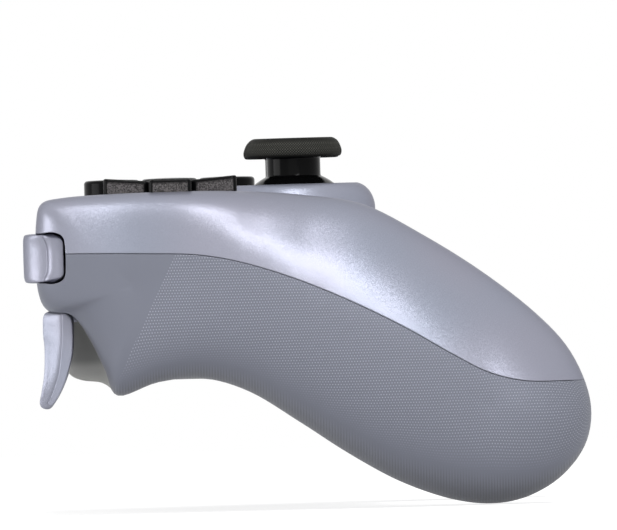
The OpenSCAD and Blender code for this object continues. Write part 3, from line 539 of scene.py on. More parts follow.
def seam_half(up, gap):
    """Everything above or below the joint between the shells; the joint closes towards the rear end."""
    line = smooth_line(SEAM, 8)
    half_gap = gap / 2 * np.clip((line[:, 0] - JOINT_END) / JOINT_CLOSING, 0.1, 1)
    line[:, 1] += half_gap if up else -half_gap
    edge = FAR if up else -FAR
    return prism(np.vstack([line, [[FAR, edge], [-FAR, edge]]]), -FAR, FAR, axis=0)


def round_columns(low, high, radius):
    """Upright cylinders round the screws at both sides; low and high give heights from y."""
    columns = [prism(round_outline(radius, (x, y), 40), low(y), high(y)) for x, y in SCREWS]
    return both_sides(joined(columns))


def across(outline, low, high):
    """Solid over an outline in y and z from x = low to x = high, and its mirror image."""
    return both_sides(prism(outline, low, high, axis=0))


def bumper_pocket_parts():
    """Room of a bumper at rest and pressed."""
    rest = grown(bumper_outline(BUMPER_SIDE), PLAY)
    return [across(rest, SHOULDER_IN - PLAY, GRIP_X + 30),
            across(rest - [BUMPER_TRAVEL, 0], SHOULDER_IN - PLAY, BUMPER_END + PLAY)]


def bracket_room_parts():
    """Room where the trigger's bracket passes the walls."""
    y, z = HINGE
    x0, x1 = HUB_IN - 1.8 - PLAY, HUB_OUT + 1.8 + PLAY
    return [across(round_outline(HUB_R + PLAY, (y - 0.2, z), 32), x0, x1),
            both_sides(block((x0, y - 5.2, z - 2.8), (x1, y + 4.8, BUMPER_Z + 5.2)))]


def trigger_well_parts():
    """Room that a trigger and its arm sweep."""
    hub = (HUB_IN - 0.4, HUB_OUT + 0.4)
    parts = []
    for pull in (0, TRIGGER_PULL / 2, TRIGGER_PULL):
        sweep = grown(swung(rounded_ring(TRIGGER_SIDE, 4), pull), 0.5)
        parts.append(across(sweep, SHOULDER_IN - 0.4, GRIP_X + 0.4))
        parts.append(across(grown(swung(TRIGGER_ARM, pull), 0.6), *hub))
    parts.append(across(round_outline(HUB_R + 0.5, HINGE, 32), *hub))
    return parts


def housing_form(steps, inset):
    """The whole housing's outer surface, or its inner one for an inset."""
    # The sections stand closest where the trigger wells begin, the rings where the grips end
    middle_x = np.concatenate([np.linspace(0, 33, 23), np.linspace(33.4, 43.5, 30),
                               np.linspace(44.5, GRIP_X, 16)])
    angles = np.concatenate([np.linspace(2.5, 84, 33), [85.5, 87, 88.2, 89.1, 89.6]])
    if inset:
        middle_x, angles = middle_x[::2], angles[::3]
    return lofted(housing_rows(middle_x, angles, steps, inset))


# Finishes

# Flat top and foot of a grip's dot, as radii
DOT_TOP_R, DOT_FOOT_R = 0.04, 0.18
# The dots end at a slanted line: its y at a height, and how far it leans forward for each mm down
DOT_END_Y, DOT_END_Z, DOT_END_LEAN = 24.8, 48.1, 0.495
# Below this height the trigger wells' walls are lighter
WEB_Z = 27.5
# Colour of polished black plastic, and the specular level of the black materials
JET, BLACK_SHEEN = "0A0A0B", 0.07

def add(tree, kind, inputs=None, **settings):
    """Adds a node: a socket is linked to the input it is given for, any other value is set on it."""
    node = tree.nodes.new(kind)
    for key, value in settings.items():
        setattr(node, key, value)
    for key, value in (inputs or {}).items():
        if isinstance(value, bpy.types.NodeSocket):
            tree.links.new(value, node.inputs[key])
        else:
            node.inputs[key].default_value = value
    return node


def maths(tree, operation, a, b=0.0, c=0.0):
    """Result of one sum in the shader."""
    return add(tree, "ShaderNodeMath", {0: a, 1: b, 2: c}, operation=operation).outputs[0]


def blend_colours(tree, share, low, high):
    """Colour that goes from low to high with the share."""
    return add(tree, "ShaderNodeMix", {0: share, 6: low, 7: high}, data_type="RGBA").outputs[2]


def ramp(tree, value, low, high, to_low=0.0, to_high=1.0):
    """Value brought from one range to another, smoothly and clamped."""
    inputs = {"Value": value, "From Min": low, "From Max": high, "To Min": to_low, "To Max": to_high}
    return add(tree, "ShaderNodeMapRange", inputs, interpolation_type="SMOOTHSTEP").outputs["Result"]


def number(tree, name):
    """The number that a piece's points carry under a name."""
    return add(tree, "ShaderNodeAttribute", attribute_name=name).outputs["Fac"]


def off_middle(tree, count):
    """Place within its cell of a value that counts cells, from -0.5 to 0.5."""
    return maths(tree, "SUBTRACT", maths(tree, "FRACT", count), 0.5)


def colour(hex_code):
    """Colour with its alpha, for a colour socket."""
    return (*linear(hex_code), 1.0)


def new_finish(name):
    """Empty material and its node tree."""
    material = bpy.data.materials.new(f"{name}_surface")
    material.use_nodes = True
    material.node_tree.nodes.clear()
    return material, material.node_tree


def finish_with(material, tree, **sockets):
    """Closes a material with its surface shader; the sockets' names have _ for a space."""
    shader = add(tree, "ShaderNodeBsdfPrincipled", {k.replace("_", " "): v for k, v in sockets.items()})
    add(tree, "ShaderNodeOutputMaterial", {"Surface": shader.outputs[0]})
    material.diffuse_color = shader.inputs["Base Color"].default_value
    return material


def object_point(tree):
    """The point on the object, in metres."""
    return add(tree, "ShaderNodeTexCoord").outputs["Object"]


def grain(tree, point, size_mm, detail=2.0, roughness=0.5):
    """Noise with features of a size in mm, as a value round 0.5."""
    inputs = {"Vector": point, "Scale": 1 / (size_mm * MM), "Detail": detail, "Roughness": roughness}
    return add(tree, "ShaderNodeTexNoise", inputs).outputs["Fac"]


def cells(tree, point, size):
    """Random colour for each cell of a size in metres."""
    return add(tree, "ShaderNodeTexVoronoi", {"Vector": point, "Scale": 1 / size}).outputs["Color"]

def bumped(tree, height, depth_mm, normal=None):
    """Normal of a surface raised by height times the depth in mm."""
    inputs = {"Height": height, "Distance": depth_mm * MM, "Strength": 1.0}
    if normal is not None:
        inputs["Normal"] = normal
    return add(tree, "ShaderNodeBump", inputs).outputs["Normal"]


def soft_edges(tree, radius_mm):
    """Normal that turns smoothly over edges, as a moulded edge does."""
    return add(tree, "ShaderNodeBevel", {"Radius": radius_mm * MM}, samples=6).outputs["Normal"]


def vectors(tree, operation, inputs):
    """Result of one sum with vectors in the shader."""
    return add(tree, "ShaderNodeVectorMath", inputs, operation=operation).outputs[0]


def pearl_paint(finish):
    """Painted plastic: the eye gets a lilac silver with fine flakes that glint in the highlight."""
    material, tree = new_finish("pearl_paint")
    point = object_point(tree)
    tilt = vectors(tree, "SUBTRACT", {0: cells(tree, point, finish.flake_size), 1: (0.5, 0.5, 0.5)})
    tilt = vectors(tree, "SCALE", {0: tilt, "Scale": finish.flake_tilt})
    tilt = vectors(tree, "ADD", {0: tilt, 1: soft_edges(tree, 0.35)})
    normal = vectors(tree, "NORMALIZE", {0: tilt})
    clouds = ramp(tree, grain(tree, point, 26, 1.0), 0.3, 0.7)
    base = blend_colours(tree, clouds, (*finish.paint, 1.0), (*finish.paint_shade, 1.0))
    return finish_with(material, tree, Base_Color=base, Metallic=0.55, Roughness=0.35, Normal=normal,
                       Specular_Tint=colour("8C8C94"))


def grip_plastic(finish):
    """Moulded grip: rows of small raised dots behind a slanted line, a smooth satin strip before it.

    Towards the underside the dots fade and pass into faint ribs, and the grip darkens: both are painted
    shade.
    The walls of the trigger wells are a plain grey, painted lighter to lift the shade they stand in.
    """
    material, tree = new_finish("grip_plastic")
    point = object_point(tree)
    _, y, z = add(tree, "ShaderNodeSeparateXYZ", {"Vector": point}).outputs
    belly = number(tree, "belly")
    row = maths(tree, "DIVIDE", number(tree, "dot_rows"), finish.dot_row_gap)
    odd = maths(tree, "MODULO", maths(tree, "ABSOLUTE", maths(tree, "FLOOR", row)), 2.0)
    count = maths(tree, "DIVIDE", y, finish.dot_gap)
    staggered = maths(tree, "ADD", count, maths(tree, "MULTIPLY", odd, 0.5))
    across = maths(tree, "MULTIPLY", off_middle(tree, row), finish.dot_row_gap)
    aside = maths(tree, "MULTIPLY", off_middle(tree, staggered), finish.dot_gap)
    squares = [maths(tree, "POWER", d, 2.0) for d in (across, aside)]
    away = maths(tree, "SQRT", maths(tree, "ADD", *squares))
    dot = ramp(tree, away, DOT_TOP_R * MM, DOT_FOOT_R * MM, 1.0, 0.0)
    # Painted shade: the dots' lighter tone fades out towards the underside, as the light from above falls
    # off there
    dot = maths(tree, "MULTIPLY", dot, ramp(tree, belly, 0.15, 0.65, 1.0, 0.0))
    rib = ramp(tree, maths(tree, "ABSOLUTE", off_middle(tree, count)), 0.1, 0.4)
    rib = maths(tree, "MULTIPLY", rib, ramp(tree, belly, 0.55, 0.8, 0.0, 0.35))
    lean = maths(tree, "MULTIPLY", maths(tree, "SUBTRACT", DOT_END_Z * MM, z), DOT_END_LEAN)
    edge = maths(tree, "SUBTRACT", y, lean)
    behind = ramp(tree, edge, DOT_END_Y * MM, (DOT_END_Y + 0.2) * MM, 1.0, 0.0)
    dots = maths(tree, "MULTIPLY", maths(tree, "ADD", dot, rib), behind)
    base = blend_colours(tree, dots, (*finish.grip, 1.0), (*finish.grip_dot, 1.0))
    # Painted shade: the grip's colour darkens towards 5A5A5A on the underside, where shade falls
    base = blend_colours(tree, ramp(tree, belly, 0.5, 1.0, 0.0, 0.55), base, colour("5A5A5A"))
    # The trigger wells' walls: a neutral grey, painted lighter than it is to lift the shade in the wells,
    # and lighter again below WEB_Z
    below = ramp(tree, z, WEB_Z * MM, (WEB_Z + 2) * MM, 1.0, 0.0)
    wall = blend_colours(tree, below, colour("9A9A97"), colour("C0C0BC"))
    base = blend_colours(tree, number(tree, "well"), base, wall)
    fine = bumped(tree, grain(tree, point, 0.12), 0.01, soft_edges(tree, 0.3))
    normal = bumped(tree, dots, 0.06, fine)
    return finish_with(material, tree, Base_Color=base, Metallic=0.15, Roughness=0.5, Normal=normal,
                       Specular_Tint=colour("8C8C94"), Specular_IOR_Level=0.3)


def jet_plastic():
    """Polished black plastic: deep black with a clear gloss and faint moulding waves."""
    material, tree = new_finish("jet_plastic")
    point = object_point(tree)
    normal = bumped(tree, grain(tree, point, 3), 0.01, soft_edges(tree, 0.25))
    rough = ramp(tree, grain(tree, point, 8, 3.0), 0.3, 0.8, 0.12, 0.2)
    return finish_with(material, tree, Base_Color=colour(JET), Roughness=rough, Normal=normal,
                       Specular_IOR_Level=BLACK_SHEEN)


def key_plastic():
    """Direction keys: dark grey sides with a coarse sparkling grain, framed by polished black."""
    material, tree = new_finish("key_plastic")
    panel = number(tree, "grained")
    grains = cells(tree, object_point(tree), 0.17 * MM)
    speck = add(tree, "ShaderNodeSeparateColor", {"Color": grains}).outputs[0]
    lit = blend_colours(tree, ramp(tree, speck, 0.0, 1.0), colour("353434"), colour("747070"))
    base = blend_colours(tree, panel, colour(JET), lit)
    rough = ramp(tree, panel, 0.0, 1.0, 0.18, 0.6)
    normal = bumped(tree, maths(tree, "MULTIPLY", speck, panel), 0.03, soft_edges(tree, 0.25))
    return finish_with(material, tree, Base_Color=base, Roughness=rough, Normal=normal,
                       Specular_IOR_Level=BLACK_SHEEN)


def stick_rubber():
    """Matte black rubber: a dull surface with a fine skin that takes a soft edge light."""
    material, tree = new_finish("stick_rubber")
    point = object_point(tree)
    base = blend_colours(tree, grain(tree, point, 4, 3.0), colour("161614"), colour("1F1F1D"))
    base = blend_colours(tree, number(tree, "knurl_lines"), base, colour("5A5A55"))
    normal = bumped(tree, grain(tree, point, 0.2, 3.0), 0.02)
    return finish_with(material, tree, Base_Color=base, Roughness=0.62, Normal=normal,
                       Specular_IOR_Level=BLACK_SHEEN)


def clear_silicone():
    """Milky silicone: light passes a little way into it, with a soft gloss."""
    material, tree = new_finish("clear_silicone")
    base = blend_colours(tree, grain(tree, object_point(tree), 2), colour("B9BCC2"), colour("D6D8DC"))
    return finish_with(material, tree, Base_Color=base, Roughness=0.35, Subsurface_Weight=0.3,
                       Subsurface_Scale=1.5 * MM)


def speckled(name, low, high, size_mm, roughness, metallic=0.0, depth_mm=0.02):
    """Material of two close tones with a grain of a size in mm, raised by a depth."""
    material, tree = new_finish(name)
    point = object_point(tree)
    cloud = grain(tree, point, size_mm, 4.0, 0.6)
    base = blend_colours(tree, ramp(tree, cloud, 0.3, 0.7), colour(low), colour(high))
    rough = ramp(tree, grain(tree, point, 3 * size_mm), 0.2, 0.8, 0.8 * roughness, 1.2 * roughness)
    normal = bumped(tree, cloud, depth_mm, soft_edges(tree, 0.15))
    return finish_with(material, tree, Base_Color=base, Roughness=rough, Metallic=metallic, Normal=normal)


def circuit_laminate():
    """Circuit board: green mask over fine copper lines that show as lighter green."""
    material, tree = new_finish("circuit_laminate")
    point = object_point(tree)
    tracks = add(tree, "ShaderNodeTexBrick", {"Vector": point, "Scale": 1 / (6 * MM), "Mortar Size": 0.03},
                 offset=0.37, squash=0.6).outputs["Fac"]
    base = blend_colours(tree, tracks, colour("15452F"), colour("2F7A55"))
    normal = bumped(tree, tracks, 0.03, soft_edges(tree, 0.1))
    return finish_with(material, tree, Base_Color=base, Roughness=0.35, Normal=normal)


# Materials with colours from the settings, and those without
COLOURED = {"pearl_paint": pearl_paint, "grip_plastic": grip_plastic}
PLAIN = {
    "jet_plastic": jet_plastic,
    "key_plastic": key_plastic,
    "stick_rubber": stick_rubber,
    "clear_silicone": clear_silicone,
    "circuit_laminate": circuit_laminate,
}
# Lower and upper tone, size of the grain in mm and roughness of the plainer materials
SPECKLED = {
    # Black glass-filled plastic of plates, trays and sockets: dull, with a fine mould grain
    "black_carrier": dict(low="18191B", high="26272A", size_mm=0.4, roughness=0.55),
    # Shrink wrap of the battery: grey-blue, slightly glossy, gently puckered
    "battery_wrap": dict(low="3C404A", high="565B66", size_mm=5, roughness=0.35, depth_mm=0.1),
    # White engineering resin of the stick's yoke: waxy and even
    "white_resin": dict(low="DCDCD6", high="F0F0EC", size_mm=2, roughness=0.4),
    # Rolled steel: a bright satin metal with faint brushing
    "steel": dict(low="9EA1A5", high="C4C6C9", size_mm=0.3, roughness=0.28, metallic=1.0, depth_mm=0.008),
    # Grey resin round the triggers: matte, a shade darker than the grips
    "well_resin": dict(low="606167", high="74757C", size_mm=0.3, roughness=0.5),
    # Sintered weight: a warm dark metal with a coarse grain
    "dense_metal": dict(low="6E6456", high="8E8370", size_mm=0.25, roughness=0.45, metallic=1.0),
}


def finish(name, context):
    """The named material, made once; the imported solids' own plain materials have the bare names."""
    made = bpy.data.materials.get(f"{name}_surface")
    if made:
        return made
    if name in SPECKLED:
        return speckled(name, **SPECKLED[name])
    return COLOURED[name](context.scene.gamepad_finish) if name in COLOURED else PLAIN[name]()


def dress(piece, name, context, body=None, node=None):
    """Gives a piece its material; a new skin also gets its slot, rides on its body and hides its node."""
    piece.data.materials.clear()
    piece.data.materials.append(finish(name, context))
    if body:
        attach(piece, body)
        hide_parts(node)


def number_points(piece, name, values):
    """Keeps one number per point on the piece, for its material."""
    layer = piece.data.attributes.new(name, "FLOAT", "POINT")
    layer.data.foreach_set("value", np.asarray(values, np.float32))


def points_of(piece):
    """Points of a piece's mesh in mm."""
    flat = np.empty(len(piece.data.vertices) * 3, np.float32)
    piece.data.vertices.foreach_get("co", flat)
    return flat.reshape(-1, 3).astype(float) / MM


def lay_dot_rows(piece):
    """Numbers the grips' points by the way round the grip, so that rows of dots follow its surface.

    The place is the height near the grip's equator, and below it the core's height plus the angle about
    the core times the grip's half thickness there.
    """
    x, y, z = points_of(piece).T
    core_z = np.interp(y, GRIP_CORE[:, 0], GRIP_CORE[:, 1])
    low = GRIP_SIDE[18:29]
    low = low[np.argsort(low[:, 0])]
    thick = np.maximum(core_z - np.interp(y, low[:, 0], low[:, 1]), 9)
    wide = np.maximum(half_width(y) - GRIP_X, 6)
    angle = np.arctan2((z - core_z) / thick, (np.abs(x) - GRIP_X) / wide)
    angle = np.where(angle > np.pi / 2, angle - 2 * np.pi, angle)
    # Half a metre is added so that no row is counted below 0
    number_points(piece, "dot_rows", (core_z + thick * angle) * MM + 0.5)
    # belly grows towards the underside; the grip's material paints shade there by it and fades its dots
    number_points(piece, "belly", ease(-np.degrees(angle), 8, 80))
    # well marks the trigger wells' walls, which the grip's material paints lighter to lift their shade
    inside = ease(-np.abs(x), -SHOULDER_IN + 0.1, -SHOULDER_IN + 0.7)
    number_points(piece, "well", inside * ease(y, 33, 36) * ease(-z, -46, -42))


# Pieces

def seam_low(y):
    """Height just below the joint between the shells."""
    return seam_z(y) - 1


def screw_seat(y):
    """Height of the underside's seat for a screw's head."""
    return seam_z(y) - SCREW_BELOW


def shell_walls(inner, half, low, high):
    """What is cut from a shell: the inner form, less the screw columns of that half of the housing."""
    hollow = make_piece("hollow", inner)
    columns = make_piece("columns", round_columns(low, high, COLUMN_R))
    combine(columns, half, "INTERSECT")
    combine(hollow, columns)
    return hollow


def make_housing(context):
    """Upper and lower shell: walls between the outer and the inner form, split at the joint."""
    gap = context.scene.gamepad_shape.seam_gap / MM
    outer, inner = housing_form(6, 0), housing_form(3, WALL)
    above, below = seam_half(True, gap), seam_half(False, gap)
    shoulder_rooms = bumper_pocket_parts() + bracket_room_parts()

    hollow = shell_walls(inner, above, seam_low, lambda y: FAR)
    for pair in ((0, 180), (90, 270)):
        combine(hollow, key_openings(pair, KEY_PLAY + COLLAR_T, FLANGE_TOP + 0.1))
        combine(hollow, button_openings(pair, PLAY + COLLAR_T, FLANGE_TOP + 0.1))
    combine(hollow, stick_part(boss_profile(PIVOT_Z + 1)))
    upper = make_piece("upper_shell_skin", outer)
    split_caps(upper)
    combine(upper, stick_part(boss_profile(BOSS_LOW)), "UNION")
    combine(upper, above, "INTERSECT")
    combine(upper, hollow)
    cuts = [key_openings(KEY_TURNS.values(), KEY_PLAY, BOSS_LOW),
            button_openings(BUTTON_TURNS.values(), PLAY, BOSS_LOW),
            stick_part(stick_room_profile()),
            prism(pad_outline(PLAY), BOSS_LOW, FAR),
            prism(round_outline(HOME_D / 2 + PLAY, (0, HOME_Y)), BOSS_LOW, FAR),
            joined([prism(option_outline(s, PLAY), BOSS_LOW, FAR) for s in SIDES.values()]),
            round_columns(seam_low, lambda y: seam_z(y) + 8, SCREW_D / 2 + 0.05),
            prism(round_outline(JACK_R + 0.15, (0, JACK_Z)), JACK_END - 3, JACK_END + 5, axis=1)]
    for cut in cuts + shoulder_rooms:
        combine(upper, cut)
    smooth(upper)
    dress(upper, "pearl_paint", context, "housing", "upper_shell")

    hollow = shell_walls(inner, below, lambda y: 0, lambda y: 50)
    lower = make_piece("lower_shell_skin", outer)
    split_caps(lower)
    combine(lower, below, "INTERSECT")
    lip = make_piece("lip", housing_form(3, WALL / 2))
    combine(lip, shifted(below, LIP_H), "INTERSECT")
    combine(lip, shifted(above, -LIP_H), "INTERSECT")
    combine(lower, lip, "UNION")
    combine(lower, hollow)
    port = rounded_box(PORT_W + 0.6, PORT_T + 0.6, (0, PORT_Z), ROUND_END * (PORT_T / 2 + 0.3))
    cuts = [round_columns(lambda y: -1, screw_seat, SCREW_HEAD_D / 2 + 0.2),
            round_columns(lambda y: screw_seat(y) - 1, lambda y: 50, SCREW_D / 2 + 0.15),
            prism(port, FRONT_Y - 5, FRONT_Y + 7, axis=1)]
    for cut in cuts + trigger_well_parts() + shoulder_rooms:
        combine(lower, cut)
    smooth(lower)
    lay_dot_rows(lower)
    dress(lower, "grip_plastic", context, "housing", "lower_shell")


def cap_profile():
    """Section of the stick's rubber cap: a rim that leans in towards a shallow dish."""
    # How far each point lies inside the cap's edge, in mm, and its height as a share of the cap's
    rim = np.array([[0.9, 0], [0.3, 0.03], [0.04, 0.16], [0, 0.33], [0.15, 0.5], [0.5, 0.72],
                    [0.95, 0.88], [1.7, 0.99], [2.4, 0.98], [3.4, 0.84], [4.6, 0.74], [6.4, 0.69]])
    rim = smooth_line([CAP_D / 2, CAP_LOW] + rim * [-1, CAP_T], 6)
    return np.vstack([[[0, CAP_LOW]], [[2.7, CAP_LOW]], rim, [[0, CAP_LOW + 0.67 * CAP_T]]])


def knurl(points, count):
    """Height of the diamonds at the right cap's points, 0 on the lines between them, and their fade.

    The height is the product of two waves that climb round the rim in opposite ways. The fade takes it
    back towards the top and the underside.
    """
    away = points[:, :2] - STICK
    height = (points[:, 2] - CAP_LOW) / CAP_T
    around = np.arctan2(away[:, 1], away[:, 0]) * count
    climb = height * CAP_T / (CAP_D / 2) * count
    wave = np.abs(np.sin((around + climb) / 2) * np.sin((around - climb) / 2))
    rim = ease(np.linalg.norm(away, axis=1), CAP_D / 2 - 1.6, CAP_D / 2 - 0.8)
    return wave, ease(height, 0.06, 0.2) * ease(-height, -0.9, -0.72) * rim


def knurled_cap(shape):
    """Right stick's cap, with its rim pushed out by the diamonds' height."""
    points, faces = spun(cap_profile(), 8 * shape.knurl_count, STICK)
    away = points[:, :2] - STICK
    wave, fade = knurl(points, shape.knurl_count)
    push = (wave - 0.5) * fade * shape.knurl_depth / MM
    scale = 1 + push / np.maximum(np.linalg.norm(away, axis=1), 1)
    points[:, :2] = STICK + away * scale[:, None]
    return points, faces


def post_profile():
    """Section of a stick's post: a thin dome that carries the straight post and the cap's seat."""
    r, thin, head = POST_D / 2, DOME_R - 0.8, CAP_LOW + 0.05
    top = math.degrees(math.acos(r / DOME_R))
    outer = arc((0, PIVOT_Z), (DOME_R, DOME_R), 5, top - 3.5, 22)
    fillet = arc((r + 0.5, PIVOT_Z + math.sqrt(DOME_R ** 2 - r ** 2) + 0.28), (-0.5, -0.5), 70, 0, 5)
    seat = [[r, CAP_LOW - 0.3], *arc((r + 0.15, CAP_LOW - 0.3), (-0.15, 0.25), 0, 80, 4), [r + 0.15, head]]
    # Bore for the lever below, and a wider one for the cap above
    bore = [[2.6, head], [2.6, CAP_LOW - 1.4], [1.72, CAP_LOW - 1.4], [1.72, PIVOT_Z + thin - 2.5],
            [3.2, PIVOT_Z + thin - 2.5]]
    inner = arc((0, PIVOT_Z), (thin, thin), math.degrees(math.acos(3.6 / thin)), 5, 14)
    return outer + fillet + seat + bore + inner


def make_thumbsticks(context):
    """Rubber caps and the posts that carry them."""
    shape = context.scene.gamepad_shape
    cap, post = knurled_cap(shape), ring_spun(post_profile(), 128, STICK)
    wave, fade = knurl(cap[0], shape.knurl_count)
    for side, sign in SIDES.items():
        for name, part, material in (("cap", cap, "stick_rubber"), ("post", post, "jet_plastic")):
            piece = make_piece(f"stick_{name}_{side}_skin", part if sign > 0 else mirrored(part))
            if name == "cap":
                number_points(piece, "knurl_lines", ease(-wave, -0.3, -0.02) * fade)
            smooth(piece, 40)
            dress(piece, material, context, f"thumbstick_{side}", f"stick_{name}_{side}")


def stacked(outlines, heights):
    """Solid through matching outlines, each at its height or with a height for each of its points."""
    rows = [np.column_stack([o, np.broadcast_to(h, len(o))]) for o, h in zip(outlines, heights)]
    return lofted(np.stack(rows))


def key_top(y, sloped):
    """Height of a direction key's top at y along it: the two that lie along the grip slope inwards."""
    if not sloped:
        return FACE_H + KEY_RISE - SIDE_KEY_DROP
    return FACE_H + KEY_RISE - (DPAD_SPAN / 2 - y) * math.tan(math.radians(KEY_SLOPE))


def key_form(angle, edge):
    """A direction key in its place: straight sides, a rounded top edge and a crown that sinks inside it."""
    sloped = angle % 180 == 0
    turn = np.radians(np.linspace(0, 90, 7))
    outlines = [key_outline(-d) for d in edge * (1 - np.cos(turn))]
    heights = [key_top(o[:, 1], sloped) - edge * (1 - math.sin(a)) for o, a in zip(outlines, turn)]
    # Past a depth of 1.2 mm the outline is scaled, because its corners can't be drawn in any further
    for depth, sink in ((edge + 0.35, 0.04), (edge + 0.9, 0.14), (edge + 1.5, 0.18)):
        small = key_outline(-1.15) * [0.86, 0.97] + [0, 0.2]
        outlines.append(key_outline(-depth) if depth < 1.2 else small)
        heights.append(key_top(outlines[-1][:, 1], sloped) - sink)
    placed = [turned(o, angle, KEY_PLACE) for o in [key_outline()] + outlines]
    return stacked(placed, [FLANGE_LOW] + heights)


def key_panels(points, angle, edge):
    """Where a direction key is grained: 1 on its flat sides and its outer end, 0 on their rims."""
    x, y, z = points.T
    local = turned(np.column_stack([x, y]) - KEY_PLACE, -angle, (0, 0))
    x, y = np.abs(local[:, 0]), local[:, 1]
    half, reach, low = KEY_W / 2, DPAD_SPAN / 2, KEY_INNER + KEY_W / 2
    side = (np.abs(x - half) < 0.05) * ease(y, low + 0.35, low + 0.65)
    side = side * ease(-y, -reach + 0.55, -reach + 0.85)
    end = (np.abs(y - reach) < 0.05) * ease(-x, -half + 0.55, -half + 0.85)
    return np.maximum(side, end) * ease(key_top(y, angle % 180 == 0) - z, edge + 0.02, edge + 0.3)


def make_direction_keys(context):
    """Four keys with a grained panel on each side."""
    edge = context.scene.gamepad_shape.key_edge / MM
    wide, reach = KEY_W / 2 + FLANGE_LIP, DPAD_SPAN / 2 + FLANGE_LIP
    flange = [[-wide, 5.5], [wide, 5.5], [wide, reach], [-wide, reach]]
    for name, angle in KEY_TURNS.items():
        piece = make_piece(f"direction_key_{name}_skin", key_form(angle, edge))
        combine(piece, prism(turned(flange, angle, KEY_PLACE), FLANGE_LOW, FLANGE_TOP), "UNION")
        divide_sides(piece)
        number_points(piece, "grained", key_panels(points_of(piece), angle, edge))
        smooth(piece, 40)
        dress(piece, "key_plastic", context, f"direction_key_{name}", f"direction_key_{name}")


def divide_sides(piece):
    """Divides the long upright edges so that a mask by points has enough of them."""
    mesh = bmesh.new()
    mesh.from_mesh(piece.data)
    bmesh.ops.triangulate(mesh, faces=mesh.faces)
    for longest in (3.0, 1.5, 0.8, 0.4):
        edges = [e for e in mesh.edges if e.calc_length() > longest * MM]
        bmesh.ops.subdivide_edges(mesh, edges=edges, cuts=1)
        bmesh.ops.triangulate(mesh, faces=mesh.faces)
    mesh.to_mesh(piece.data)
    mesh.free()


def make_round_buttons(context):
    """Four round buttons: a straight wall, a rounded shoulder and a gently domed top."""
    r, top = BUTTON_D / 2, FACE_H + BUTTON_RISE
    shoulder = arc((r - 0.7, top - 0.85), (0.7, 0.7), 0, 78, 8)
    # The crown rises by 0.15 mm as 1 - (1 - d / 4.7) squared, d mm in from the shoulder
    crown = [[r - 0.7 - d, top - 0.15 + 0.15 * (1 - (1 - d / 4.7) ** 2)] for d in np.linspace(0.3, 4.6, 8)]
    flange = [[0, FLANGE_LOW], [r + FLANGE_LIP, FLANGE_LOW], [r + FLANGE_LIP, FLANGE_TOP], [r, FLANGE_TOP]]
    for name, angle in BUTTON_TURNS.items():
        piece = make_piece(f"round_button_{name}_skin",
                           spun([*flange, *shoulder, *crown, [0, top]], 96, button_centre(angle)))
        smooth(piece, 40)
        dress(piece, "jet_plastic", context, f"round_button_{name}", f"round_button_{name}")


def filled_bumper(side):
    """Outline of a bumper that fills its opening, except at the rear, where it clears the bracket."""
    outline = bumper_outline(side)
    filled = grown(outline, BUMPER_FILL)
    filled[:, 0] = np.maximum(filled[:, 0], outline[:, 0].min())
    return filled


def across_rows(rows):
    """Solid through sections in y and z, each at its x."""
    return lofted(np.stack([np.column_stack([np.full(len(r), x), r]) for x, r in rows]))


def bumper_form():
    """A right-hand bumper: straight, round its outer corner to the crease, and to its small end."""
    side, crease, tip = (filled_bumper(s) for s in (BUMPER_SIDE, BUMPER_CREASE, BUMPER_TIP))
    flange = grown(side, PLAY - BUMPER_FILL - 0.02)
    rows = [(SHOULDER_IN, flange), (SHOULDER_IN + 0.8, flange), (SHOULDER_IN + 0.85, side)]
    rows += [(x, side) for x in np.linspace(SHOULDER_IN + 1.5, GRIP_X - 0.5, 24)]
    last = math.radians(72)
    for a in np.linspace(0, last, 14)[1:]:
        share = (1 - math.cos(a)) / (1 - math.cos(last))
        rows.append((GRIP_X - 0.5 + 5.5 * math.sin(a) / math.sin(last), side + (crease - side) * share))
    for a in np.radians(np.linspace(0, 90, 8))[1:]:
        rows.append((GRIP_X + 5 + 1.6 * math.sin(a), crease + (tip - crease) * (1 - math.cos(a))))
    return across_rows(rows)


def trigger_form():
    """A right-hand trigger's blade: a rounded inner edge, a straight part and a fall to its outer side."""
    side, outer = (swung(rounded_ring(s, 8)) for s in (TRIGGER_SIDE, TRIGGER_OUTER))
    rows = [(SHOULDER_IN + 0.7 * (1 - math.cos(a)), grown(side, 0.7 * (math.sin(a) - 1)))
            for a in np.radians(np.linspace(0, 90, 7))]
    rows += [(x, side) for x in np.linspace(SHOULDER_IN + 2, GRIP_X - 3.6, 20)]
    rows += [(GRIP_X - 3.5 + 3.2 * share, side + (outer - side) * ease(share, -0.25, 1.1))
             for share in (0.06, 0.2, 0.4, 0.6, 0.8, 0.92)]
    rows += [(GRIP_X - 0.25 + 0.25 * math.sin(a), grown(outer, -0.25 * (1 - math.cos(a))))
             for a in np.radians(np.linspace(15, 90, 6))]
    return across_rows(rows)


def make_shoulders(context):
    """Bumpers and triggers."""
    arm = prism(swung(TRIGGER_ARM), HUB_IN + 2.2, HUB_OUT, axis=0)
    hub = prism(round_outline(HUB_R, HINGE, 48), HUB_IN + 2.2, HUB_OUT, axis=0)
    bore = prism(round_outline(1.05, HINGE, 32), HUB_IN - 5, HUB_OUT + 5, axis=0)
    tongue = block((HUB_IN + 1, HINGE[0] - 0.2, BUMPER_Z - 1.5), (HUB_OUT - 1, FRONT_Y - 2, BUMPER_Z + 0.5))
    kinds = {"bumper": (bumper_form(), ((tongue, "UNION"),)),
             "trigger": (trigger_form(), ((arm, "UNION"), (hub, "UNION"), (bore, "DIFFERENCE")))}
    for side, sign in SIDES.items():
        for kind, (form, steps) in kinds.items():
            node = f"{kind}_{side}"
            piece = make_piece(f"{node}_skin", form if sign > 0 else mirrored(form))
            for part, operation in steps:
                combine(piece, part if sign > 0 else mirrored(part), operation)
            smooth(piece, 24)
            dress(piece, "pearl_paint", context, node, node)


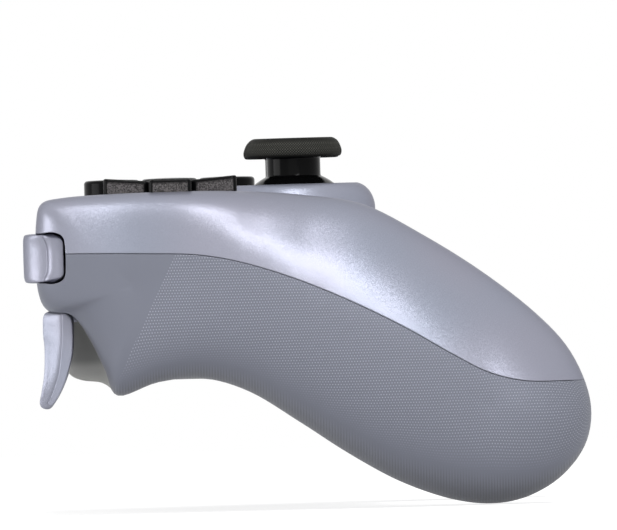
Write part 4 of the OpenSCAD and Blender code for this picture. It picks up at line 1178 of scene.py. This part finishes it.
def make_face_details(context):
    """The touchpad's plate, curved like the face, with the hook of its hinge, and the housing's screws."""
    y = np.linspace(PAD_REAR - 1, PAD_FRONT + 1, 40)
    top = np.column_stack([y, face_z(y)])
    plate = make_piece("touchpad_skin", prism(pad_outline(), BOSS_LOW, FAR))
    combine(plate, prism(np.vstack([top, top[::-1] - [0, PAD_T]]), -FAR, FAR, axis=0), "INTERSECT")
    half, rear, face = PAD_W / 2 - 3, PAD_FRONT - 4, face_z(PAD_FRONT)
    hook = block((-half, rear, face - WALL - 1), (half, PAD_FRONT + 1.5, face - WALL - 0.3))
    web = block((-half, rear, face - WALL - 0.4), (half, PAD_FRONT - 0.2, face - PAD_T + 0.3))
    combine(plate, hook, "UNION")
    combine(plate, web, "UNION")
    smooth(plate)
    dress(plate, "pearl_paint", context, "touchpad", "touchpad")

    screws = []
    for x, y in SCREWS:
        seat, r, thin = float(screw_seat(y)), SCREW_HEAD_D / 2, SCREW_D / 2
        low = seat - SCREW_HEAD_T
        head = arc((0, low + 0.5), (r, -0.5), 90, 0, 6) + [[r, seat]]
        end = seat + SCREW_L
        shank = [[thin, seat], [thin, end - 0.6], [thin - 0.5, end], [0, end]]
        screws.append(spun(head + shank, 48, (x, y)))
    piece = make_piece("shell_screws_skin", both_sides(joined(screws)))
    for wide, long in ((0.55, 2.5), (2.5, 0.55)):
        slots = []
        for x, y in SCREWS:
            low = float(screw_seat(y)) - SCREW_HEAD_T
            corner = (x + wide / 2, y + long / 2, low + 0.9)
            slots.append(block((x - wide / 2, y - long / 2, low - 1), corner))
        combine(piece, both_sides(joined(slots)))
    smooth(piece)
    dress(piece, "steel", context, "housing", "shell_screws")


CARRIED_OVER = {
    "jet_plastic": ("home_button", "option_button_"),
    "clear_silicone": ("key_dome_", "button_dome_", "key_membrane", "button_membrane"),
    "black_carrier": ("button_plate", "battery_tray", "stick_pivot_", "headset_socket"),
    "circuit_laminate": ("main_board",),
    "battery_wrap": ("battery_pack",),
    "white_resin": ("stick_yoke_",),
    "well_resin": ("trigger_bracket_",),
    "dense_metal": ("rumble_weight_",),
    "steel": ("stick_housing_", "stick_lever_", "trigger_pin_", "trigger_spring_", "rumble_motor_",
              "charge_port"),
}


def make_inside_finishes(context):
    """Gives every solid that keeps its own mesh its finish."""
    for name, starts in CARRIED_OVER.items():
        for node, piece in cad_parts.items():
            if node.startswith(starts):
                dress(piece, name, context)
                piece.data.set_sharp_from_angle(angle=math.radians(30))


# Stage

# The photo leans by this angle, and its middle shows this point of the nearer grip
PHOTO_ROLL = math.radians(1.7)
VIEW_CENTRE = (-GRIP_X * MM, -0.00046, 0.04598)
SENSOR_MM = 36
LAMP_AIM = (0, 0, 0.03)
WHITE = (1, 1, 1, 1)

def make_lamp(name, place, size, power, roll=0.0):
    """Soft lamp of a size in metres, aimed at the gamepad's middle and rolled about its aim by degrees."""
    lamp = bpy.data.lights.new(name, "AREA")
    lamp.shape = "RECTANGLE"
    lamp.size, lamp.size_y = size
    lamp.energy = power
    holder = bpy.data.objects.new(name, lamp)
    holder.location = place
    holder.rotation_mode = "QUATERNION"
    turn = (Vector(LAMP_AIM) - Vector(place)).to_track_quat("-Z", "Y")
    holder.rotation_quaternion = turn @ Quaternion((0, 0, 1), math.radians(roll))
    bpy.context.scene.collection.objects.link(holder)


def seen_rays(tree):
    """1 for rays of the camera, of reflections and of clear materials, 0 for others."""
    path = add(tree, "ShaderNodeLightPath")
    rays = [path.outputs[n] for n in ("Is Camera Ray", "Is Glossy Ray", "Is Transmission Ray")]
    return maths(tree, "MAXIMUM", maths(tree, "MAXIMUM", rays[0], rays[1]), rays[2])


def make_camera(context):
    """Camera at the photograph's view, from the player's left, level and rolled as the photo is."""
    stage = context.scene.gamepad_stage
    back = Vector((-math.cos(stage.camera_turn), math.sin(stage.camera_turn), 0))
    upright = Vector((0, -math.sin(PHOTO_ROLL), math.cos(PHOTO_ROLL)))
    right = upright.cross(back).normalized()
    turn = Matrix((right, back.cross(right), back)).transposed()
    camera = bpy.data.objects.new("camera", bpy.data.cameras.new("camera"))
    camera.data.sensor_width = SENSOR_MM
    camera.data.lens = SENSOR_MM * stage.camera_distance / stage.view_width
    camera.data.clip_end = 100
    place = Vector(VIEW_CENTRE) + back * stage.camera_distance
    camera.matrix_world = Matrix.Translation(place) @ turn.to_4x4()
    context.scene.collection.objects.link(camera)
    context.scene.camera = camera


def make_stage(context):
    """Camera at the photograph's view, pale floor, white surroundings and soft lamps."""
    stage = context.scene.gamepad_stage
    context.scene.view_settings.view_transform = "Standard"
    make_camera(context)

    world = bpy.data.worlds.new("surroundings")
    world.use_nodes = True
    tree = world.node_tree
    tree.nodes.clear()
    strength = maths(tree, "MULTIPLY_ADD", seen_rays(tree), 1.0 - stage.sky, stage.sky)
    sky = add(tree, "ShaderNodeBackground", {"Color": WHITE, "Strength": strength})
    add(tree, "ShaderNodeOutputWorld", {"Surface": sky.outputs[0]})
    context.scene.world = world

    floor = make_piece("floor", block((-1500, -1500, -20), (1500, 1500, -0.2)))
    material, tree = new_finish("pale_floor")
    shade = grain(tree, object_point(tree), 60)
    base = blend_colours(tree, shade, (0.6, 0.6, 0.6, 1), (0.63, 0.63, 0.63, 1))
    glow = maths(tree, "MULTIPLY", seen_rays(tree), stage.floor_glow)
    finish_with(material, tree, Base_Color=base, Roughness=0.9, Emission_Color=WHITE,
                Emission_Strength=glow, Specular_IOR_Level=0.0)
    floor.data.materials.append(material)

    make_lamp("strip_lamp", (-0.72, -0.17, 0.54), (0.13, 0.75), stage.strip_power, roll=16)
    make_lamp("top_lamp", (-0.25, 0.0, 0.86), (0.2, 0.3), stage.top_power)
    make_lamp("front_lamp", (-0.2, 0.93, 0.12), (0.6, 0.5), stage.front_power)
    make_lamp("fill_lamp", (-1.2, 0.1, 0.25), (0.8, 0.5), stage.fill_power)


# Settings, operators and panel

def length(name, description, default, low, high, precision=5):
    """Setting for a length; the numbers are given in metres."""
    return FloatProperty(name=name, description=description, default=default, min=low, max=high,
                         subtype="DISTANCE", unit="LENGTH", precision=precision)


def tint(name, description, hex_code):
    """Setting for a colour."""
    return FloatVectorProperty(name=name, description=description, default=linear(hex_code), min=0, max=1,
                               subtype="COLOR")


def wattage(name, description, default):
    """Setting for a lamp's power in watts."""
    return FloatProperty(name=name, description=description, default=default, min=0, max=50,
                         subtype="POWER", unit="POWER")


class GamepadShape(bpy.types.PropertyGroup):
    seam_gap: length("Joint", "Open joint between the shells", 0.13 * MM, 0.05 * MM, 0.5 * MM)
    key_edge: length("Key edge", "Rounding of a direction key's top edge", 0.45 * MM, 0.1 * MM, 0.8 * MM)
    knurl_count: IntProperty(name="Knurl count", description="Diamonds round a stick's rim", default=112,
                             min=20, max=130)
    knurl_depth: length("Knurl depth", "Height of the diamonds on a stick's rim", 0.08 * MM, 0.0, 0.4 * MM)


class GamepadFinish(bpy.types.PropertyGroup):
    paint: tint("Paint", "Colour of the pearl paint", "999AA8")
    paint_shade: tint("Paint shade", "Cooler tone that drifts through the paint", "9499A8")
    flake_size: length("Flake size", "Size of the paint's flakes", 0.15 * MM, 0.05 * MM, 1 * MM)
    flake_tilt: FloatProperty(name="Flake tilt", description="How far the flakes lean from the surface",
                              default=0.11, min=0, max=1)
    grip: tint("Grip", "Ground colour of the grips", "80838F")
    grip_dot: tint("Grip dot", "Colour of the raised dots", "A9ADBA")
    dot_gap: length("Dot gap", "Distance between dots in a row", 0.53 * MM, 0.2 * MM, 3 * MM)
    dot_row_gap: length("Row gap", "Distance between rows of dots", 0.53 * MM, 0.2 * MM, 3 * MM)


class GamepadStage(bpy.types.PropertyGroup):
    camera_distance: length("Camera distance", "From the camera to the nearer grip", 4.7, 0.5, 10, 2)
    camera_turn: FloatProperty(name="Camera turn", description="Turn of the camera towards the front",
                               default=math.radians(0.38), min=-0.2, max=0.2, subtype="ANGLE")
    view_width: length("View width", "Width that the picture covers at the nearer grip", 0.1164, 0.05, 1)
    sky: FloatProperty(name="Sky", description="Strength of the surroundings on dull surfaces",
                       default=0.42, min=0, max=2)
    floor_glow: FloatProperty(name="Floor glow", description="Light that the floor adds to its reflection",
                              default=0.76, min=0, max=1)
    strip_power: wattage("Strip lamp", "Power of the long lamp that bends over the grip", 3.6)
    top_power: wattage("Top lamp", "Power of the small lamp over the face's edge", 1.5)
    fill_power: wattage("Fill lamp", "Power of the wide lamp beside the camera", 0.5)
    front_power: wattage("Front lamp", "Power of the lamp before the triggers", 3.4)


class GamepadHousing(bpy.types.Operator):
    """Makes the two painted and moulded shells of the housing"""
    bl_idname = "gamepad.housing"
    bl_label = "Housing"

    def execute(self, context):
        make_housing(context)
        return {"FINISHED"}


class GamepadThumbsticks(bpy.types.Operator):
    """Makes the thumbsticks' rubber caps and posts"""
    bl_idname = "gamepad.thumbsticks"
    bl_label = "Thumbsticks"

    def execute(self, context):
        make_thumbsticks(context)
        return {"FINISHED"}


class GamepadDirectionKeys(bpy.types.Operator):
    """Makes the four direction keys"""
    bl_idname = "gamepad.direction_keys"
    bl_label = "Direction keys"

    def execute(self, context):
        make_direction_keys(context)
        return {"FINISHED"}


class GamepadRoundButtons(bpy.types.Operator):
    """Makes the four round buttons"""
    bl_idname = "gamepad.round_buttons"
    bl_label = "Round buttons"

    def execute(self, context):
        make_round_buttons(context)
        return {"FINISHED"}


class GamepadShoulders(bpy.types.Operator):
    """Makes the bumpers and triggers"""
    bl_idname = "gamepad.shoulders"
    bl_label = "Bumpers and triggers"

    def execute(self, context):
        make_shoulders(context)
        return {"FINISHED"}


class GamepadFaceDetails(bpy.types.Operator):
    """Makes the touchpad plate and the screws"""
    bl_idname = "gamepad.face_details"
    bl_label = "Touchpad and screws"

    def execute(self, context):
        make_face_details(context)
        return {"FINISHED"}


class GamepadInsideFinishes(bpy.types.Operator):
    """Gives the solids that are kept as they are their finishes"""
    bl_idname = "gamepad.inside_finishes"
    bl_label = "Inside finishes"

    def execute(self, context):
        make_inside_finishes(context)
        return {"FINISHED"}


class GamepadStageMaker(bpy.types.Operator):
    """Makes the camera, floor, surroundings and lamps"""
    bl_idname = "gamepad.stage"
    bl_label = "Stage"

    def execute(self, context):
        make_stage(context)
        return {"FINISHED"}


class GamepadPanel(bpy.types.Panel):
    """Settings and steps of the gamepad's surfaces"""
    bl_idname = "VIEW3D_PT_gamepad"
    bl_label = "Gamepad"
    bl_space_type = "VIEW_3D"
    bl_region_type = "UI"
    bl_category = "Gamepad"

    def draw(self, context):
        for group in ("gamepad_shape", "gamepad_finish", "gamepad_stage"):
            box = self.layout.box()
            settings = getattr(context.scene, group)
            for name in settings.__annotations__:
                box.prop(settings, name)
        for step in STEPS:
            self.layout.operator(step.bl_idname)


STEPS = (GamepadStageMaker, GamepadHousing, GamepadThumbsticks, GamepadDirectionKeys, GamepadRoundButtons,
         GamepadShoulders, GamepadFaceDetails, GamepadInsideFinishes)
GROUPS = {"gamepad_shape": GamepadShape, "gamepad_finish": GamepadFinish, "gamepad_stage": GamepadStage}


def register():
    for group in GROUPS.values():
        bpy.utils.register_class(group)
    for name, group in GROUPS.items():
        setattr(bpy.types.Scene, name, PointerProperty(type=group))
    for step in STEPS:
        bpy.utils.register_class(step)
    bpy.utils.register_class(GamepadPanel)


def unregister():
    bpy.utils.unregister_class(GamepadPanel)
    for step in reversed(STEPS):
        bpy.utils.unregister_class(step)
    for name, group in GROUPS.items():
        delattr(bpy.types.Scene, name)
        bpy.utils.unregister_class(group)


def main():
    """Makes every piece in order."""
    register()
    bpy.ops.gamepad.stage()
    bpy.ops.gamepad.housing()
    bpy.ops.gamepad.thumbsticks()
    bpy.ops.gamepad.direction_keys()
    bpy.ops.gamepad.round_buttons()
    bpy.ops.gamepad.shoulders()
    bpy.ops.gamepad.face_details()
    bpy.ops.gamepad.inside_finishes()


if __name__ == "__main__":
    main()
